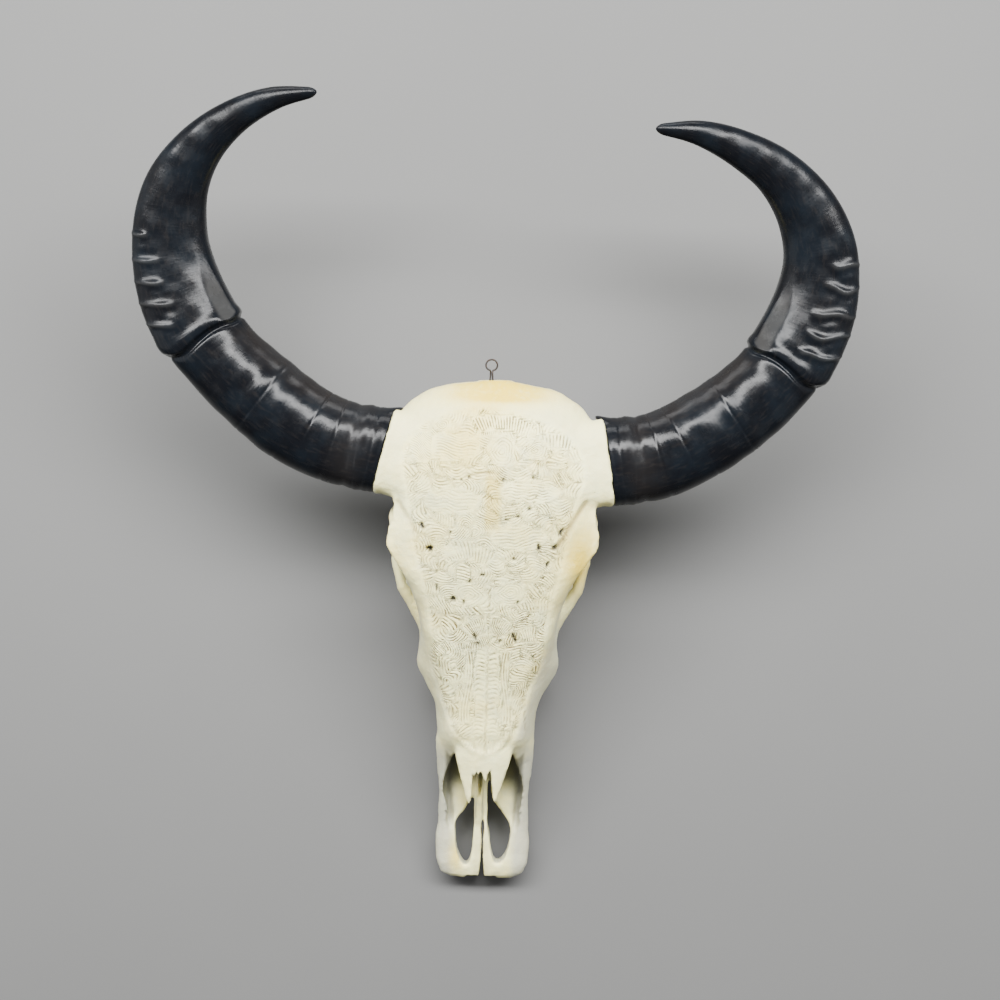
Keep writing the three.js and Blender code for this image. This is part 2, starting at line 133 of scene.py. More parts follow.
# Small holes on the forehead and nose root: x, y, radius, depth, how many
# times longer than wide, and the long way's turn in degrees from x.
PITS = np.array([
    [-57.5, 342.6, 2.9, 5, 1, 0], [-65.6, 364.7, 1.9, 3, 1.6, 115], [60.3, 347.2, 2.2, 4, 1, 0],
    [65.7, 362.3, 1.7, 3, 2.4, 60], [45.1, 346.7, 1.7, 3.5, 2.0, 95], [54.0, 331.9, 1.2, 2.5, 2.6, 80],
    [49.9, 318.5, 1.3, 2.5, 1, 0], [22.2, 335.6, 1.4, 2.5, 1.2, 0], [-6.7, 319.5, 1.3, 2.5, 1.7, 10],
    [-18.7, 313.4, 1.3, 2.5, 1.3, 20], [-34.2, 295.6, 2.4, 3, 1.1, 0], [-23.9, 293.1, 1.3, 2, 1.3, 90],
    [27.4, 293.7, 1.4, 2.5, 1.4, 90], [35.1, 382.6, 1.5, 3, 1.5, 25], [41.4, 394.8, 0.9, 2, 1, 0],
    [-21.8, 410.7, 1.2, 2.5, 1.2, 30], [-28.8, 408.2, 1.2, 2, 1, 0], [-35.2, 408.9, 0.9, 2, 1, 0],
    [10.1, 409.4, 1.7, 3, 1, 0], [38.0, 412.1, 1.4, 2.5, 1.1, 60], [24.2, 412.6, 0.9, 2, 1, 0],
    [-37.8, 359.1, 1.1, 2.5, 1.4, 45], [-12.2, 259.2, 1.3, 3, 2.6, 110], [-9.2, 253.3, 1.1, 2.5, 1.5, 90],
    [11.6, 256.0, 1.3, 3, 1.3, 90], [25.8, 258.4, 1.1, 3, 5.0, 117], [45.0, 242.0, 1.1, 2, 1.4, 40],
    [-45.0, 240.0, 0.9, 2, 1, 0], [-49.5, 306.0, 1.0, 2, 3.0, 95], [-50.5, 322.0, 0.9, 2, 2.4, 80],
    [14.0, 372.0, 1.0, 2, 2.2, 0], [24.5, 375.6, 1.0, 2, 2.0, 15], [-62.0, 376.0, 1.1, 2, 1.3, 20],
    [18.0, 386.0, 0.8, 1.5, 1, 0], [39.0, 389.0, 0.8, 1.5, 1.8, 40], [-33.0, 347.0, 0.8, 1.5, 1.4, 0],
    [-41.0, 348.0, 0.8, 1.5, 1, 0], [38.0, 282.0, 0.9, 1.5, 2.0, 15], [-46.0, 216.0, 1.0, 2, 1, 0],
], float)


def at_place(points):
    """Working-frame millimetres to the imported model's metres."""
    return np.asarray(points, float) * MM + PLACE


def smooth_table(rows, keys):
    """Read a table of key, values... at new keys: cubic between rows, the
    slope at a row from its neighbours."""
    known, values = rows[:, 0], rows[:, 1:]
    keys = np.clip(keys, known[0], known[-1])
    slopes = np.gradient(values, known, axis=0)
    low = np.clip(np.searchsorted(known, keys, side="right") - 1, 0, len(known) - 2)
    span = known[low + 1] - known[low]
    t = ((keys - known[low]) / span)[:, None]
    h00, h10 = 2 * t**3 - 3 * t**2 + 1, t**3 - 2 * t**2 + t
    h01, h11 = -2 * t**3 + 3 * t**2, t**3 - t**2
    return (h00 * values[low] + h10 * span[:, None] * slopes[low]
            + h01 * values[low + 1] + h11 * span[:, None] * slopes[low + 1])


def path_points(points, shares):
    """A smooth line through points: cubic, read at shares 0..1 of its points."""
    keys = np.linspace(0, 1, len(points))
    return smooth_table(np.column_stack([keys, points]), shares)


def ramp(value, low, high):
    """0 below low, 1 above high, smooth between."""
    t = np.clip((value - low) / (high - low), 0, 1)
    return t * t * (3 - 2 * t)


def bump(value, centre, width):
    """A bell 1 high at centre, falling off over width."""
    return np.exp(-((value - centre) / width) ** 2)


def signed_power(value, power):
    """The size raised to a power, with the value's own sign."""
    return np.sign(value) * np.abs(value) ** power


def blend_min(a, b, soft):
    """Union of two signed distances, rounded over soft."""
    h = np.clip(0.5 + 0.5 * (b - a) / soft, 0, 1)
    return b * (1 - h) + a * h - soft * h * (1 - h)


def blend_cut(a, b, soft):
    """What is in a and not in b, its edge rounded over soft."""
    return -blend_min(-a, b, soft)


def rough_noise(x, y, z, size, seed):
    """Even smooth noise -1..1: sines of turned coordinates, added up."""
    turn = np.random.default_rng(seed)
    total = 0.0
    for _ in range(7):
        way = turn.normal(size=3)
        way *= turn.uniform(0.7, 1.6) * 2 * math.pi / (size * np.linalg.norm(way))
        total = total + np.sin(x * way[0] + y * way[1] + z * way[2] + turn.uniform(0, 6.28))
    return total / 4.0


class Field:
    """The head's signed distance on a box grid, finer across the middle."""

    def __init__(self, step):
        fine = step * FINE_SHARE
        half = np.concatenate([np.arange(0, 7, 1.0), np.arange(7.2, 105, fine),
                               np.arange(105, 125, step)])
        self.xs = np.concatenate([-half[:0:-1], half])
        self.ys = np.concatenate([np.arange(-4, 232, step), np.arange(232, 483, fine),
                                  np.arange(483, 512, step)])
        self.zs = np.arange(-step * 1.5, 204, step * TALL_SHARE)
        self.x = self.xs[:, None, None]
        self.y = self.ys[None, :, None]
        self.z = self.zs[None, None, :]
        self.side = np.abs(self.x)
        self.lean = 3.0 * bump(self.ys, 374, 28)[None, :, None]

    def even(self, f):
        """Divide by the slope, so that a level's value is a distance."""
        f = np.broadcast_to(f, (len(self.xs), len(self.ys), len(self.zs)))
        gx, gy, gz = np.gradient(f, self.xs, self.ys, self.zs)
        return f / np.maximum(np.sqrt(gx**2 + gy**2 + gz**2), 0.25)

    def ball(self, x, y, z, rx, ry, rz, both_sides=False):
        """Ellipsoid: length of the scaled offset less one, times its smallest
        radius."""
        across = self.side if both_sides else self.x
        q = np.sqrt(((across - x) / rx) ** 2 + ((self.y - y) / ry) ** 2 + ((self.z - z) / rz) ** 2)
        return (q - 1) * min(rx, ry, rz)

    def head(self):
        """Distance from each section's centre less the section's radius at
        that angle, the section a closed curve through twelve table points."""
        rows = smooth_table(HEAD, self.ys)
        top, edge_w, edge_z, wide_w, wide_z, under_w, under_z = rows.T
        ring_x = np.stack([0 * top, under_w * 0.6, under_w, wide_w, edge_w, edge_w * 0.52, 0 * top], 1)
        ring_z = np.stack([under_z + 1, under_z, under_z + 5, wide_z, edge_z,
                           edge_z + (top - edge_z) * 0.8, top], 1)
        ring_x = np.concatenate([ring_x, -ring_x[:, 5:0:-1]], 1)
        ring_z = np.concatenate([ring_z, ring_z[:, 5:0:-1]], 1)
        t = np.linspace(0, 1, 10, endpoint=False)
        weights = 0.5 * np.stack([-t + 2 * t**2 - t**3, 2 - 5 * t**2 + 3 * t**3,
                                  t + 4 * t**2 - 3 * t**3, -t**2 + t**3])
        curve = []
        for ring in (ring_x, ring_z):
            near = np.stack([np.roll(ring, k, axis=1) for k in (1, 0, -1, -2)])
            curve.append(np.einsum("kt,kys->yst", weights, near).reshape(len(ring), -1))
        middle = (top + under_z) / 2
        angle = np.arctan2(curve[0], curve[1] - middle[:, None])
        reach = np.hypot(curve[0], curve[1] - middle[:, None])
        bins = np.linspace(-math.pi, math.pi, 361)
        radius = np.empty((len(self.ys), len(bins)))
        for row in range(len(self.ys)):
            radius[row] = np.interp(bins, angle[row], reach[row], period=2 * math.pi)
        across = self.z - middle[None, :, None]
        offset = self.x - self.lean
        where = (np.arctan2(offset + 0 * across, across + 0 * offset) + math.pi) / (2 * math.pi) * 360
        low = np.clip(where.astype(int), 0, 359)
        part = where - low
        line = np.arange(len(self.ys))[None, :, None]
        reach = radius[line, low] * (1 - part) + radius[line, low + 1] * part
        f = np.hypot(offset, across) - reach
        f = np.maximum(f, np.maximum(HEAD[0, 0] - self.y, self.y - HEAD[-1, 0]))
        return self.even(f)

    def muzzle(self):
        """Rounded box sections: |x/w|^4 + |z/h|^2.5 against one."""
        top, half, bottom = smooth_table(MUZZLE, self.ys).T[:, None, :, None]
        tall = (top - bottom) / 2
        q = np.abs(self.x / half) ** 4 + np.abs((self.z - (top + bottom) / 2) / tall) ** 2.5
        f = (q ** 0.36 - 1) * tall
        return self.even(np.maximum(f, np.maximum(-self.y, self.y - PLATE_END)))

    def core(self, side, horn):
        """Horn core: a rounded box section run inwards from the collar."""
        x, y, z, width, thick = horn[0]
        angle = COLLAR_ANGLE[side]
        out_x, out_y = side * math.cos(angle), math.sin(angle)
        along = (self.x - x) * out_x + (self.y - y) * out_y
        across = -(self.x - x) * out_y + (self.y - y) * out_x
        back = np.clip(-along / CORE_DEPTH, 0, 1)
        swell = 1 + 0.13 * back**2 + 0.035 * bump(back, 0.07, 0.06)
        q = (np.abs(across / (width / 2 * swell)) ** 2.8
             + np.abs((self.z - z - 2 * back) / (thick / 2 * swell)) ** 2.8) ** (1 / 2.8)
        f = (q - 1) * thick / 2
        return np.maximum(f, -along - CORE_DEPTH), along

    def rod(self, points, swap=False):
        """A line of points x, y, z, half width, half height: the nearest
        stretch's offset scaled by both half sizes, less one."""
        best = None
        for a, b in zip(points[:-1], points[1:]):
            a, b = np.array(a, float), np.array(b, float)
            way = b[:3] - a[:3]
            t = ((self.side - a[0]) * way[0] + (self.y - a[1]) * way[1] + (self.z - a[2]) * way[2])
            t = np.clip(t / way.dot(way), 0, 1)
            wide, tall = a[3] + (b[3] - a[3]) * t, a[4] + (b[4] - a[4]) * t
            dx, dy = self.side - a[0] - way[0] * t, self.y - a[1] - way[1] * t
            dz = self.z - a[2] - way[2] * t
            if swap:
                q = np.sqrt((dx / wide) ** 2 + (dy / tall) ** 2 + (dz / wide) ** 2)
            else:
                q = np.sqrt((dx**2 + dy**2) / wide**2 + (dz / tall) ** 2)
            f = (q - 1) * np.minimum(wide, tall)
            best = f if best is None else np.minimum(best, f)
        return best

    def outline(self, corners):
        """Signed distance in plan to a closed outline, on the x-y grid."""
        return inside_outline(self.xs[:, None], self.ys[None, :], corners)[:, :, None]


def near_line(x, y, corners):
    """Distance in plan to an open line of straight stretches."""
    near = 1e9
    for (ax, ay), (bx, by) in zip(corners[:-1], corners[1:]):
        dx, dy = bx - ax, by - ay
        t = np.clip(((x - ax) * dx + (y - ay) * dy) / (dx * dx + dy * dy), 0, 1)
        near = np.minimum(near, np.hypot(x - ax - dx * t, y - ay - dy * t))
    return near


def inside_outline(x, y, corners):
    """Distance in plan to a closed outline, negative inside it."""
    corners = [tuple(c) for c in corners]
    near = near_line(x, y, corners + corners[:1])
    inside = np.zeros(near.shape, bool)
    for (ax, ay), (bx, by) in zip(corners, corners[1:] + corners[:1]):
        if by != ay:
            inside ^= ((ay > y) != (by > y)) & (x < (bx - ax) * (y - ay) / (by - ay) + ax)
    return np.where(inside, -near, near)


def round_outline(points, count=60):
    """A closed smooth outline through points (cubic, periodic)."""
    points = np.array(points, float)
    wrapped = np.concatenate([points[-3:], points, points[:3]])
    keys = np.arange(-3, len(points) + 3, dtype=float)
    places = np.linspace(0, len(points), count, endpoint=False)
    return smooth_table(np.column_stack([keys, wrapped]), places)


NASAL_OUTLINE = np.array([
    [-31, 178], [-29, 140], [-22.5, 112], [-16.5, 95], [-14, 90.5], [-12.2, 94], [-11, 110],
    [-10.6, 123], [-9.6, 118], [-8.4, 119], [-7.4, 125], [-6.2, 119.5], [-5.2, 120], [-3.6, 125],
    [-1.4, 119], [1.6, 113.5], [2.8, 114.5], [4.2, 123], [6.2, 125.5], [7.0, 116], [8, 104],
    [9.6, 94.5], [11.2, 92], [13.5, 94], [20, 116],
    [27, 141], [31, 178],
], float)
NOTCH_LEFT = [[-29, 139], [-34.5, 124], [-40.5, 103], [-39, 90], [-34, 78], [-31, 66],
              [-14, 66], [-13, 88], [-20, 111], [-26, 127]]
NOTCH_RIGHT = [[26.5, 141], [32, 126], [38, 104], [37.5, 90], [34, 76], [31, 66],
               [14, 66], [11, 90], [18.5, 114], [24, 130]]
HOLE_LEFT = [[-10.5, 84], [-19, 72], [-27.5, 60], [-27.3, 42], [-24.5, 27], [-19.5, 17.5],
             [-14.5, 17], [-11, 28], [-9.8, 50]]
HOLE_RIGHT = [[5.5, 106], [8.0, 86], [18, 72], [27.5, 57], [26.8, 38], [22.5, 24], [16.5, 18.5],
              [11.5, 24], [7.5, 44], [4.5, 72]]
RIM_GROOVE = [[27, 141, 60, 3.0, 14], [35.5, 114, 46, 4.2, 12], [36.5, 92, 38, 4.0, 8],
              [34.0, 70, 36, 3.4, 5.5], [32, 50, 39, 2.6, 3.5], [29.5, 28, 37, 2.0, 2.5]]
ARCH = [[52, 240, 60, 8, 14], [61, 262, 64, 9, 14], [74, 284, 71, 8, 13], [86, 303, 77, 7, 12],
        [94, 330, 80, 5, 12], [94, 362, 82, 5, 11], [91, 396, 84, 5, 10], [81, 428, 84, 6, 10],
        [66, 450, 80, 9, 12], [44, 460, 74, 12, 14]]
REAR_PROCESS = [[50, 462, 78, 17, 15], [50, 466, 52, 14, 14], [49, 470, 28, 10, 12],
                [47, 472, 8, 7, 9], [47, 472, 0, 6, 8]]


def skull_field(step):
    """All of the head's forms joined and cut, as one signed distance."""
    g = Field(step)
    body = blend_min(g.head(), g.muzzle(), 7)
    # horn cores, cut off later at the collars' planes
    planes = []
    for side, horn in ((-1, HORN_LEFT), (1, HORN_RIGHT)):
        shape, along = g.core(side, horn)
        body = blend_min(body, shape, 4)
        planes.append(along)
    # eye sockets, temples and the hollows inside the cheek arches
    body = blend_cut(body, g.ball(112, 341, 113, 68, 34, 27, both_sides=True), 5)
    body = blend_cut(body, g.ball(96, 412, 92, 50, 42, 42, both_sides=True), 6)
    body = blend_cut(body, g.ball(78, 366, 50, 38, 50, 36, both_sides=True), 8)
    # palate and the rear opening of the nose
    vault = (np.hypot(g.x / (24 + 12 * np.clip((g.y - 80) / 232, 0, 1)), (g.z - 16) / 12) - 1) * 12
    body = blend_cut(body, np.maximum(g.even(vault), np.maximum(80 - g.y, g.y - 312)), 4)
    body = blend_cut(body, g.ball(0, 335, 48, 15, 42, 24), 5)
    # eye rims, cheek arches, rear processes, condyles and foramen
    a = (g.z - 114) / 31
    b = (g.y - 343) / 34
    rim_x = 84.5 + 4 * a + 8 * b - 12 * np.maximum(0, -a * b) + g.lean * np.sign(g.x) * 0.6
    ring = np.hypot((np.hypot(a, b) - 1) * 32.5, g.side - rim_x) - 6.2 + 1.5 * np.clip(-b, 0, 1)
    body = blend_min(body, ring, 5)
    body = blend_min(body, g.rod(ARCH), 7)
    body = blend_min(body, g.rod(REAR_PROCESS, swap=True), 9)
    body = blend_min(body, g.ball(22, 478, 42, 16, 19, 21, both_sides=True), 5)
    body = blend_cut(body, g.ball(0, 502, 61, 13, 24, 14), 3)
    # nose cavity, its notches at the sides and its open front
    share = np.clip((g.y - 64) / 140, -0.1, 1.05)
    half, low, high = 35 - 13 * share, 31 + 14 * share, 84 + 12 * share
    cavity = (np.abs(g.x / half) ** 3 + np.abs((g.z - (low + high) / 2) / ((high - low) / 2)) ** 2.6)
    ends = np.maximum((52 + (42 - g.z) * 1.8 - g.y) / 2.06, g.y - 206)
    body = blend_cut(body, np.maximum(g.even((cavity ** 0.36 - 1) * 24), ends), 4)
    for corners in (NOTCH_LEFT, NOTCH_RIGHT):
        notch = np.maximum(g.outline(round_outline(corners)), 36 - g.z)
        body = blend_cut(body, notch, 3)
    body = blend_cut(body, g.rod(RIM_GROOVE), 3.5)
    front = np.maximum(g.outline([[-34, 67], [34, 67], [30, 96], [10, 126], [-10, 126], [-30, 96]]),
                       np.abs(g.z - 64) - 18)
    body = blend_cut(body, front, 3)
    # nasal bones with their prongs, and the bar of bone below them
    share = np.clip((g.y - 88) / 90, 0, 1)
    crown = 86.5 + 24.5 * share - 9 * (g.x / 33) ** 2 + 2.5 * bump(g.side, 11, 6) * (1 - share)
    nasal = np.maximum(np.abs(g.z - crown) - 4.2, g.outline(NASAL_OUTLINE))
    body = blend_min(body, nasal, 2.5)
    wide = np.abs(g.x + 4 - 4 * np.clip((g.y - 90) / 90, 0, 1)) - 3.4 - 1.6 * ramp(40 - g.z, 0, 12)
    tall = np.maximum(22 - g.z, g.z - 40 - 0.42 * np.clip(g.y - 60, 0, 130))
    bar = g.even(np.maximum(wide, np.maximum(np.maximum(58 - g.y, g.y - 185), tall)))
    gap = np.maximum(np.abs(g.x + 3.6) - 1.7, np.maximum(np.abs(g.y - 103) - 16, 50 - g.z))
    bar = blend_cut(bar, gap, 1.5)
    body = blend_min(body, bar, 2)
    # the muzzle's two openings and the slit between its plates
    for corners in (HOLE_LEFT, HOLE_RIGHT):
        hole = np.maximum(g.outline(round_outline(corners)), np.maximum(-10 - g.z, g.z - 74))
        body = blend_cut(body, hole, 2.5)
    slit = np.abs(g.x) - 0.8 - 2.2 * ramp(-g.y, -26, 6)
    slit = np.maximum(slit, np.maximum(g.y - 62, g.z - 60))
    body = blend_cut(body, slit, 1.6)
    # collars, tooth sockets and the muzzle's front ends
    for along in planes:
        body = np.maximum(body, along + 0.3)
    for side in (-1, 1):
        for x, y, length, width in tooth_places():
            q = ((np.abs((g.x - side * x) / (width / 2 + 0.2)) ** 3
                  + np.abs((g.y - y) / (length / 2 + 0.1)) ** 2.8) ** 0.35 - 1) * width / 2
            body = np.maximum(body, -np.maximum(q, g.z - SOCKET_TOP))
    body = np.maximum(body, 2.6 * ramp(17 - g.side, 0, 3) + 0.8 * (g.x < 0) - g.y)
    return g, np.maximum(body, CLEARANCE - g.z)


TEETH = (("premolar_1", 17, 15), ("premolar_2", 20, 18), ("premolar_3", 20, 20),
         ("molar_1", 26, 22), ("molar_2", 30, 24), ("molar_3", 32, 23))


def tooth_places():
    """x, y, length and width of each tooth of one side, front to back."""
    places, start = [], FIRST_TOOTH
    for _, length, width in TEETH:
        y = start + length / 2
        places.append((33 + (y - FIRST_TOOTH) * 0.105, y, length, width))
        start += length
    return places


def surface_net(g, f):
    """One vertex in each cell that the surface crosses, at the mean of the
    crossings on its edges, and one face for each crossed grid edge."""
    inside = f < 0
    count = sum(inside[i:len(g.xs) - 1 + i, j:len(g.ys) - 1 + j, k:len(g.zs) - 1 + k].astype(np.int8)
                for i in (0, 1) for j in (0, 1) for k in (0, 1))
    cells = np.argwhere((count > 0) & (count < 8))
    number = np.full(count.shape, -1, np.int64)
    number[tuple(cells.T)] = np.arange(len(cells))
    total = np.zeros((len(cells), 3))
    hits = np.zeros(len(cells))
    for axis in range(3):
        others = [n for n in range(3) if n != axis]
        for u in (0, 1):
            for v in (0, 1):
                low = np.zeros(3, int)
                low[others[0]], low[others[1]] = u, v
                high = low.copy()
                high[axis] = 1
                fa = f[tuple((cells + low).T)]
                fb = f[tuple((cells + high).T)]
                cross = (fa < 0) != (fb < 0)
                t = np.where(cross, fa / np.where(cross, fa - fb, 1), 0)
                place = np.repeat(low[None].astype(float), len(cells), 0)
                place[:, axis] = t
                total += place * cross[:, None]
                hits += cross
    place = total / hits[:, None]
    points = np.empty_like(place)
    for axis, line in enumerate((g.xs, g.ys, g.zs)):
        low = line[cells[:, axis]]
        points[:, axis] = low + (line[cells[:, axis] + 1] - low) * place[:, axis]
    faces = []
    for axis in range(3):
        a, b = [n for n in range(3) if n != axis]
        first = np.take(inside, range(inside.shape[axis] - 1), axis)
        second = np.take(inside, range(1, inside.shape[axis]), axis)
        edges = np.argwhere(first != second)
        edges = edges[(edges[:, a] > 0) & (edges[:, b] > 0)
                      & (edges[:, a] < count.shape[a]) & (edges[:, b] < count.shape[b])]
        corner = []
        for da, db in ((-1, -1), (0, -1), (0, 0), (-1, 0)):
            move = np.zeros(3, int)
            move[a], move[b] = da, db
            corner.append(number[tuple((edges + move).T)])
        quads = np.stack(corner, 1)
        out = first[tuple(edges.T)]
        if axis == 1:
            out = ~out
        quads[~out] = quads[~out][:, ::-1]
        faces.append(quads)
    return points, np.concatenate(faces)


def read_grid(g, values, points):
    """A grid's values at points, linear between the eight corners."""
    lows, parts = [], []
    for axis, line in enumerate((g.xs, g.ys, g.zs)):
        low = np.clip(np.searchsorted(line, points[:, axis], side="right") - 1, 0, len(line) - 2)
        lows.append(low)
        parts.append(np.clip((points[:, axis] - line[low]) / (line[low + 1] - line[low]), 0, 1))
    total = 0.0
    for i in (0, 1):
        for j in (0, 1):
            for k in (0, 1):
                weight = ((parts[0] if i else 1 - parts[0]) * (parts[1] if j else 1 - parts[1])
                          * (parts[2] if k else 1 - parts[2]))
                total = total + weight * values[lows[0] + i, lows[1] + j, lows[2] + k]
    return total


def box_blur(values, reach):
    """Mean over a box of cells, by running sums along each axis."""
    for axis in range(3):
        pad = [(0, 0)] * 3
        pad[axis] = (reach + 1, reach)
        sums = np.cumsum(np.pad(values, pad, mode="edge"), axis=axis, dtype=np.float32)
        n = values.shape[axis]
        high = np.take(sums, range(2 * reach + 1, n + 2 * reach + 1), axis)
        low = np.take(sums, range(0, n), axis)
        values = (high - low) / (2 * reach + 1)
    return values


PANEL = round_outline([[-85, 416], [-83, 439], [-68, 459], [-41, 471.5], [-8, 477], [30, 470],
                       [61.5, 459], [81, 439], [86.5, 414], [80, 390], [76, 366], [72, 346],
                       [66, 318], [60, 292], [56, 264], [56, 236], [43, 206], [38, 188],
                       [32, 164], [20, 146], [0, 140.5], [-18, 144], [-29, 160], [-38, 176],
                       [-46, 198], [-54, 220], [-58, 242], [-55, 264], [-60, 292], [-66, 320],
                       [-74, 346], [-78, 372], [-80, 392]], 160)
BROW_GROOVES = [[88, 390], [78, 375], [69, 359], [64, 350]], [[-88, 386], [-79, 373], [-71, 360]]
SUTURES = ([[0, 306], [1, 258], [1, 197], [0, 141]], [[-38, 196], [-33, 180], [-25, 159]],
           [[36, 199], [38, 182], [41, 163]], [[1, 258], [-14, 262], [-24, 274], [-36, 282]],
           [[1, 258], [16, 262], [27, 272], [38, 281]])
CREASE = ([[-23, 411], [-18, 413.4], [-13, 414.6], [1, 416]], [[-54, 407], [-45, 408.6], [-36, 408]],
          [[1, 416], [14, 413.6], [26, 414.4], [41, 413]])
U_BORDER = [[-30, 172], [-27, 161], [-20, 150], [-10, 144], [0, 142], [10, 144.6], [18, 152],
            [24, 165.5], [28, 178]]


def scroll_cells(x, y):
    """Fill a surface with leaf and scroll cells: each point takes its nearest
    centre, and its line number is its distance from that cell's own pivot, or
    its angle round it, in line gaps. Also how far it is from the next cell."""
    turn = np.random.default_rng(21)
    centres = []
    for row, cy in enumerate(np.arange(150, 484, 14.0)):
        for cx in np.arange(-84 + 10 * (row % 2), 90, 20.0):
            centres.append((cx + turn.uniform(-6, 6), cy + turn.uniform(-5, 5)))
    count = len(centres)
    heading = turn.uniform(0, 2 * math.pi, count)
    reach = turn.choice([9.0, 15.0, 26.0, 40.0], count)
    radial = turn.random(count) < 0.35
    gap = turn.uniform(2.2, 3.1, count)
    x, y = (x + 2.2 * np.sin(y / 6.5) + 1.0 * np.sin(y / 2.9 + x / 9),
            y + 2.0 * np.sin(x / 8.0) + 0.7 * np.sin(x / 3.1))
    best = np.full(x.shape, 1e9)
    second = np.full(x.shape, 1e9)
    pick = np.zeros(x.shape, int)
    for n, (cx, cy) in enumerate(centres):
        away = np.hypot(x - cx, (y - cy) * 1.15)
        closer = away < best
        second = np.where(closer, best, np.minimum(second, away))
        best = np.where(closer, away, best)
        pick = np.where(closer, n, pick)
    cx, cy = np.array(centres).T
    pivot_x = cx + reach * np.cos(heading)
    pivot_y = cy + reach * np.sin(heading)
    dx, dy = x - pivot_x[pick], y - pivot_y[pick]
    rings = np.hypot(dx, dy) / gap[pick]
    around = (np.arctan2(dy, dx) - heading[pick] + 3 * math.pi) % (2 * math.pi)
    spokes = around * reach[pick] / gap[pick]
    use_spokes = radial[pick] & (reach[pick] > 10)
    return np.where(use_spokes, spokes, rings), second - best


def stroke_fields(x, y):
    """The engraving as numbers at each point: a phase that passes a whole
    number on each cut line, how strongly the line is cut, and the gentle
    height of the leaf that it lies on."""
    phase, edge = scroll_cells(x, y)
    broken = 0.5 + 0.5 * rough_noise(x, y, 0 * x, 16, 31)
    strength = ramp(edge, 0.4, 2.6) * (0.3 + 0.6 * np.clip(broken, 0, 1))
    leaf = ramp(edge, 0.0, 4.0)
    chosen = np.zeros(x.shape)

    def motif(inside, lines, depth):
        """Put a motif over the cells where inside, in mm, is positive."""
        nonlocal phase, strength, leaf, chosen
        take = inside > chosen
        phase = np.where(take, lines, phase)
        rest = np.where(take, inside - chosen, np.abs(inside - chosen))
        strength = np.where(take, depth * ramp(rest, 0.3, 2.0), strength * ramp(-inside, -0.5, 2.0))
        leaf = np.where(inside > 0, 0.8, leaf)
        chosen = np.maximum(chosen, inside)

    def fan(cx, cy, r0, r1, a0, a1, count, depth, curl=0.0):
        """Comb of strokes round a centre between two radii and angles."""
        dx, dy = x - cx, y - cy
        r, a = np.hypot(dx, dy), np.degrees(np.arctan2(dx, dy))
        inside = np.minimum(np.minimum(r - r0, r1 - r), np.radians(np.minimum(a - a0, a1 - a)) * r)
        motif(inside, (a - a0) / (a1 - a0) * count + curl * (r - r0) / (r1 - r0), depth)

    def rings(cx, cy, r1, gap, depth, stretch=1.0, lean=0.0):
        """A scroll round a centre, its turns a gap apart."""
        dx, dy = x - cx, (y - cy) * stretch + lean * (x - cx)
        a = np.arctan2(dy, dx)
        r = np.hypot(dx, dy) * (1 + 0.08 * np.sin(3 * a + cx) + 0.05 * np.sin(5 * a + cy))
        motif(r1 - r, r / (0.85 * gap) + a / (2 * math.pi), 0.75 * depth)

    def flow(cx, cy, wide, tall, gap, swing, length, depth, slope=0.0, shift=0.0):
        """Flowing lines in an oval patch."""
        dx, dy = x - cx, y - cy
        inside = (1 - np.hypot(dx / wide, dy / tall)) * min(wide, tall)
        lines = (dy + slope * dx + 0.7 * swing * np.sin(2 * math.pi * dx / length + shift)
                 + 0.8 * rough_noise(x, y, 0 * x, 13, 7)) / (0.75 * gap)
        motif(inside, lines, 0.75 * depth)

    fan(4, 404, 51.5, 66.5, -22, 32, 21, 1.0, 0.9)
    fan(0, 404, 45.5, 50.5, -18, 4, 10, 0.75)
    fan(57, 380, 60, 74, -12, 15, 10, 0.85)
    rings(39, 437, 13.5, 3.2, 0.8, 1.5, -0.35)
    rings(8, 436, 12, 2.9, 0.65, 0.8)
    rings(-48, 459, 8, 2.4, 0.6, 1.2)
    flow(-40, 438, 27, 13, 3.6, 2.4, 33, 0.6, 0.12)
    flow(-66, 438, 13, 15, 3.1, 1.2, 16, 0.5, 0.9)
    flow(34, 398, 27, 10, 3.7, 0.9, 12, 0.7, 0.04, 1.0)
    flow(-37, 388, 26, 12, 4.4, 1.6, 26, 0.32, 0.1)
    fan(-26, 304, 30, 48, -28, 42, 15, 0.6, 2.0)
    rings(-44, 345, 11, 2.8, 0.5, 1.3, 0.4)
    flow(26, 356, 26, 12, 4.0, 2.2, 33, 0.5, -0.2, 2.0)
    rings(-20, 300, 15, 3.6, 0.45, 1.3)
    rings(20, 303, 15, 3.6, 0.45, 1.3)
    fan(0, 246, 16, 34, -48, -4, 11, 0.6)
    fan(0, 246, 16, 34, 4, 48, 11, 0.6)
    for mirror in (-1, 1):
        half = mirror * x
        arcs = (y + 0.05 * (half - 5) ** 2 + 1.6 * np.sin(y / 9.0 + mirror)
                + 0.8 * np.sin(half / 2.0)) / 4.6
        inside = np.minimum(np.minimum(half - 1.0, 11.5 + 1.5 * np.sin(y / 8.0) - half),
                            np.minimum(y - 158, 248 - y))
        motif(inside, arcs, 0.16 + 0.3 * np.clip(broken + 0.2, 0, 1))
        sway = 2.5 * np.sin((y - 160) / 14.0)
        inside = np.minimum(4.6 - np.abs(half - 18.5 - sway), np.minimum(y - 172, 246 - y))
        motif(inside, (half - 16 - sway) / 2.7, 0.6)
    return phase, strength * (1 + 0.7 * bump(y, 250, 34)), leaf


def line_depth(phase, strength):
    """Cut depth 0..strength: a narrow round groove at each whole phase."""
    away = np.abs(phase - np.round(phase))
    return strength * ramp(0.24 - away, 0, 0.2)


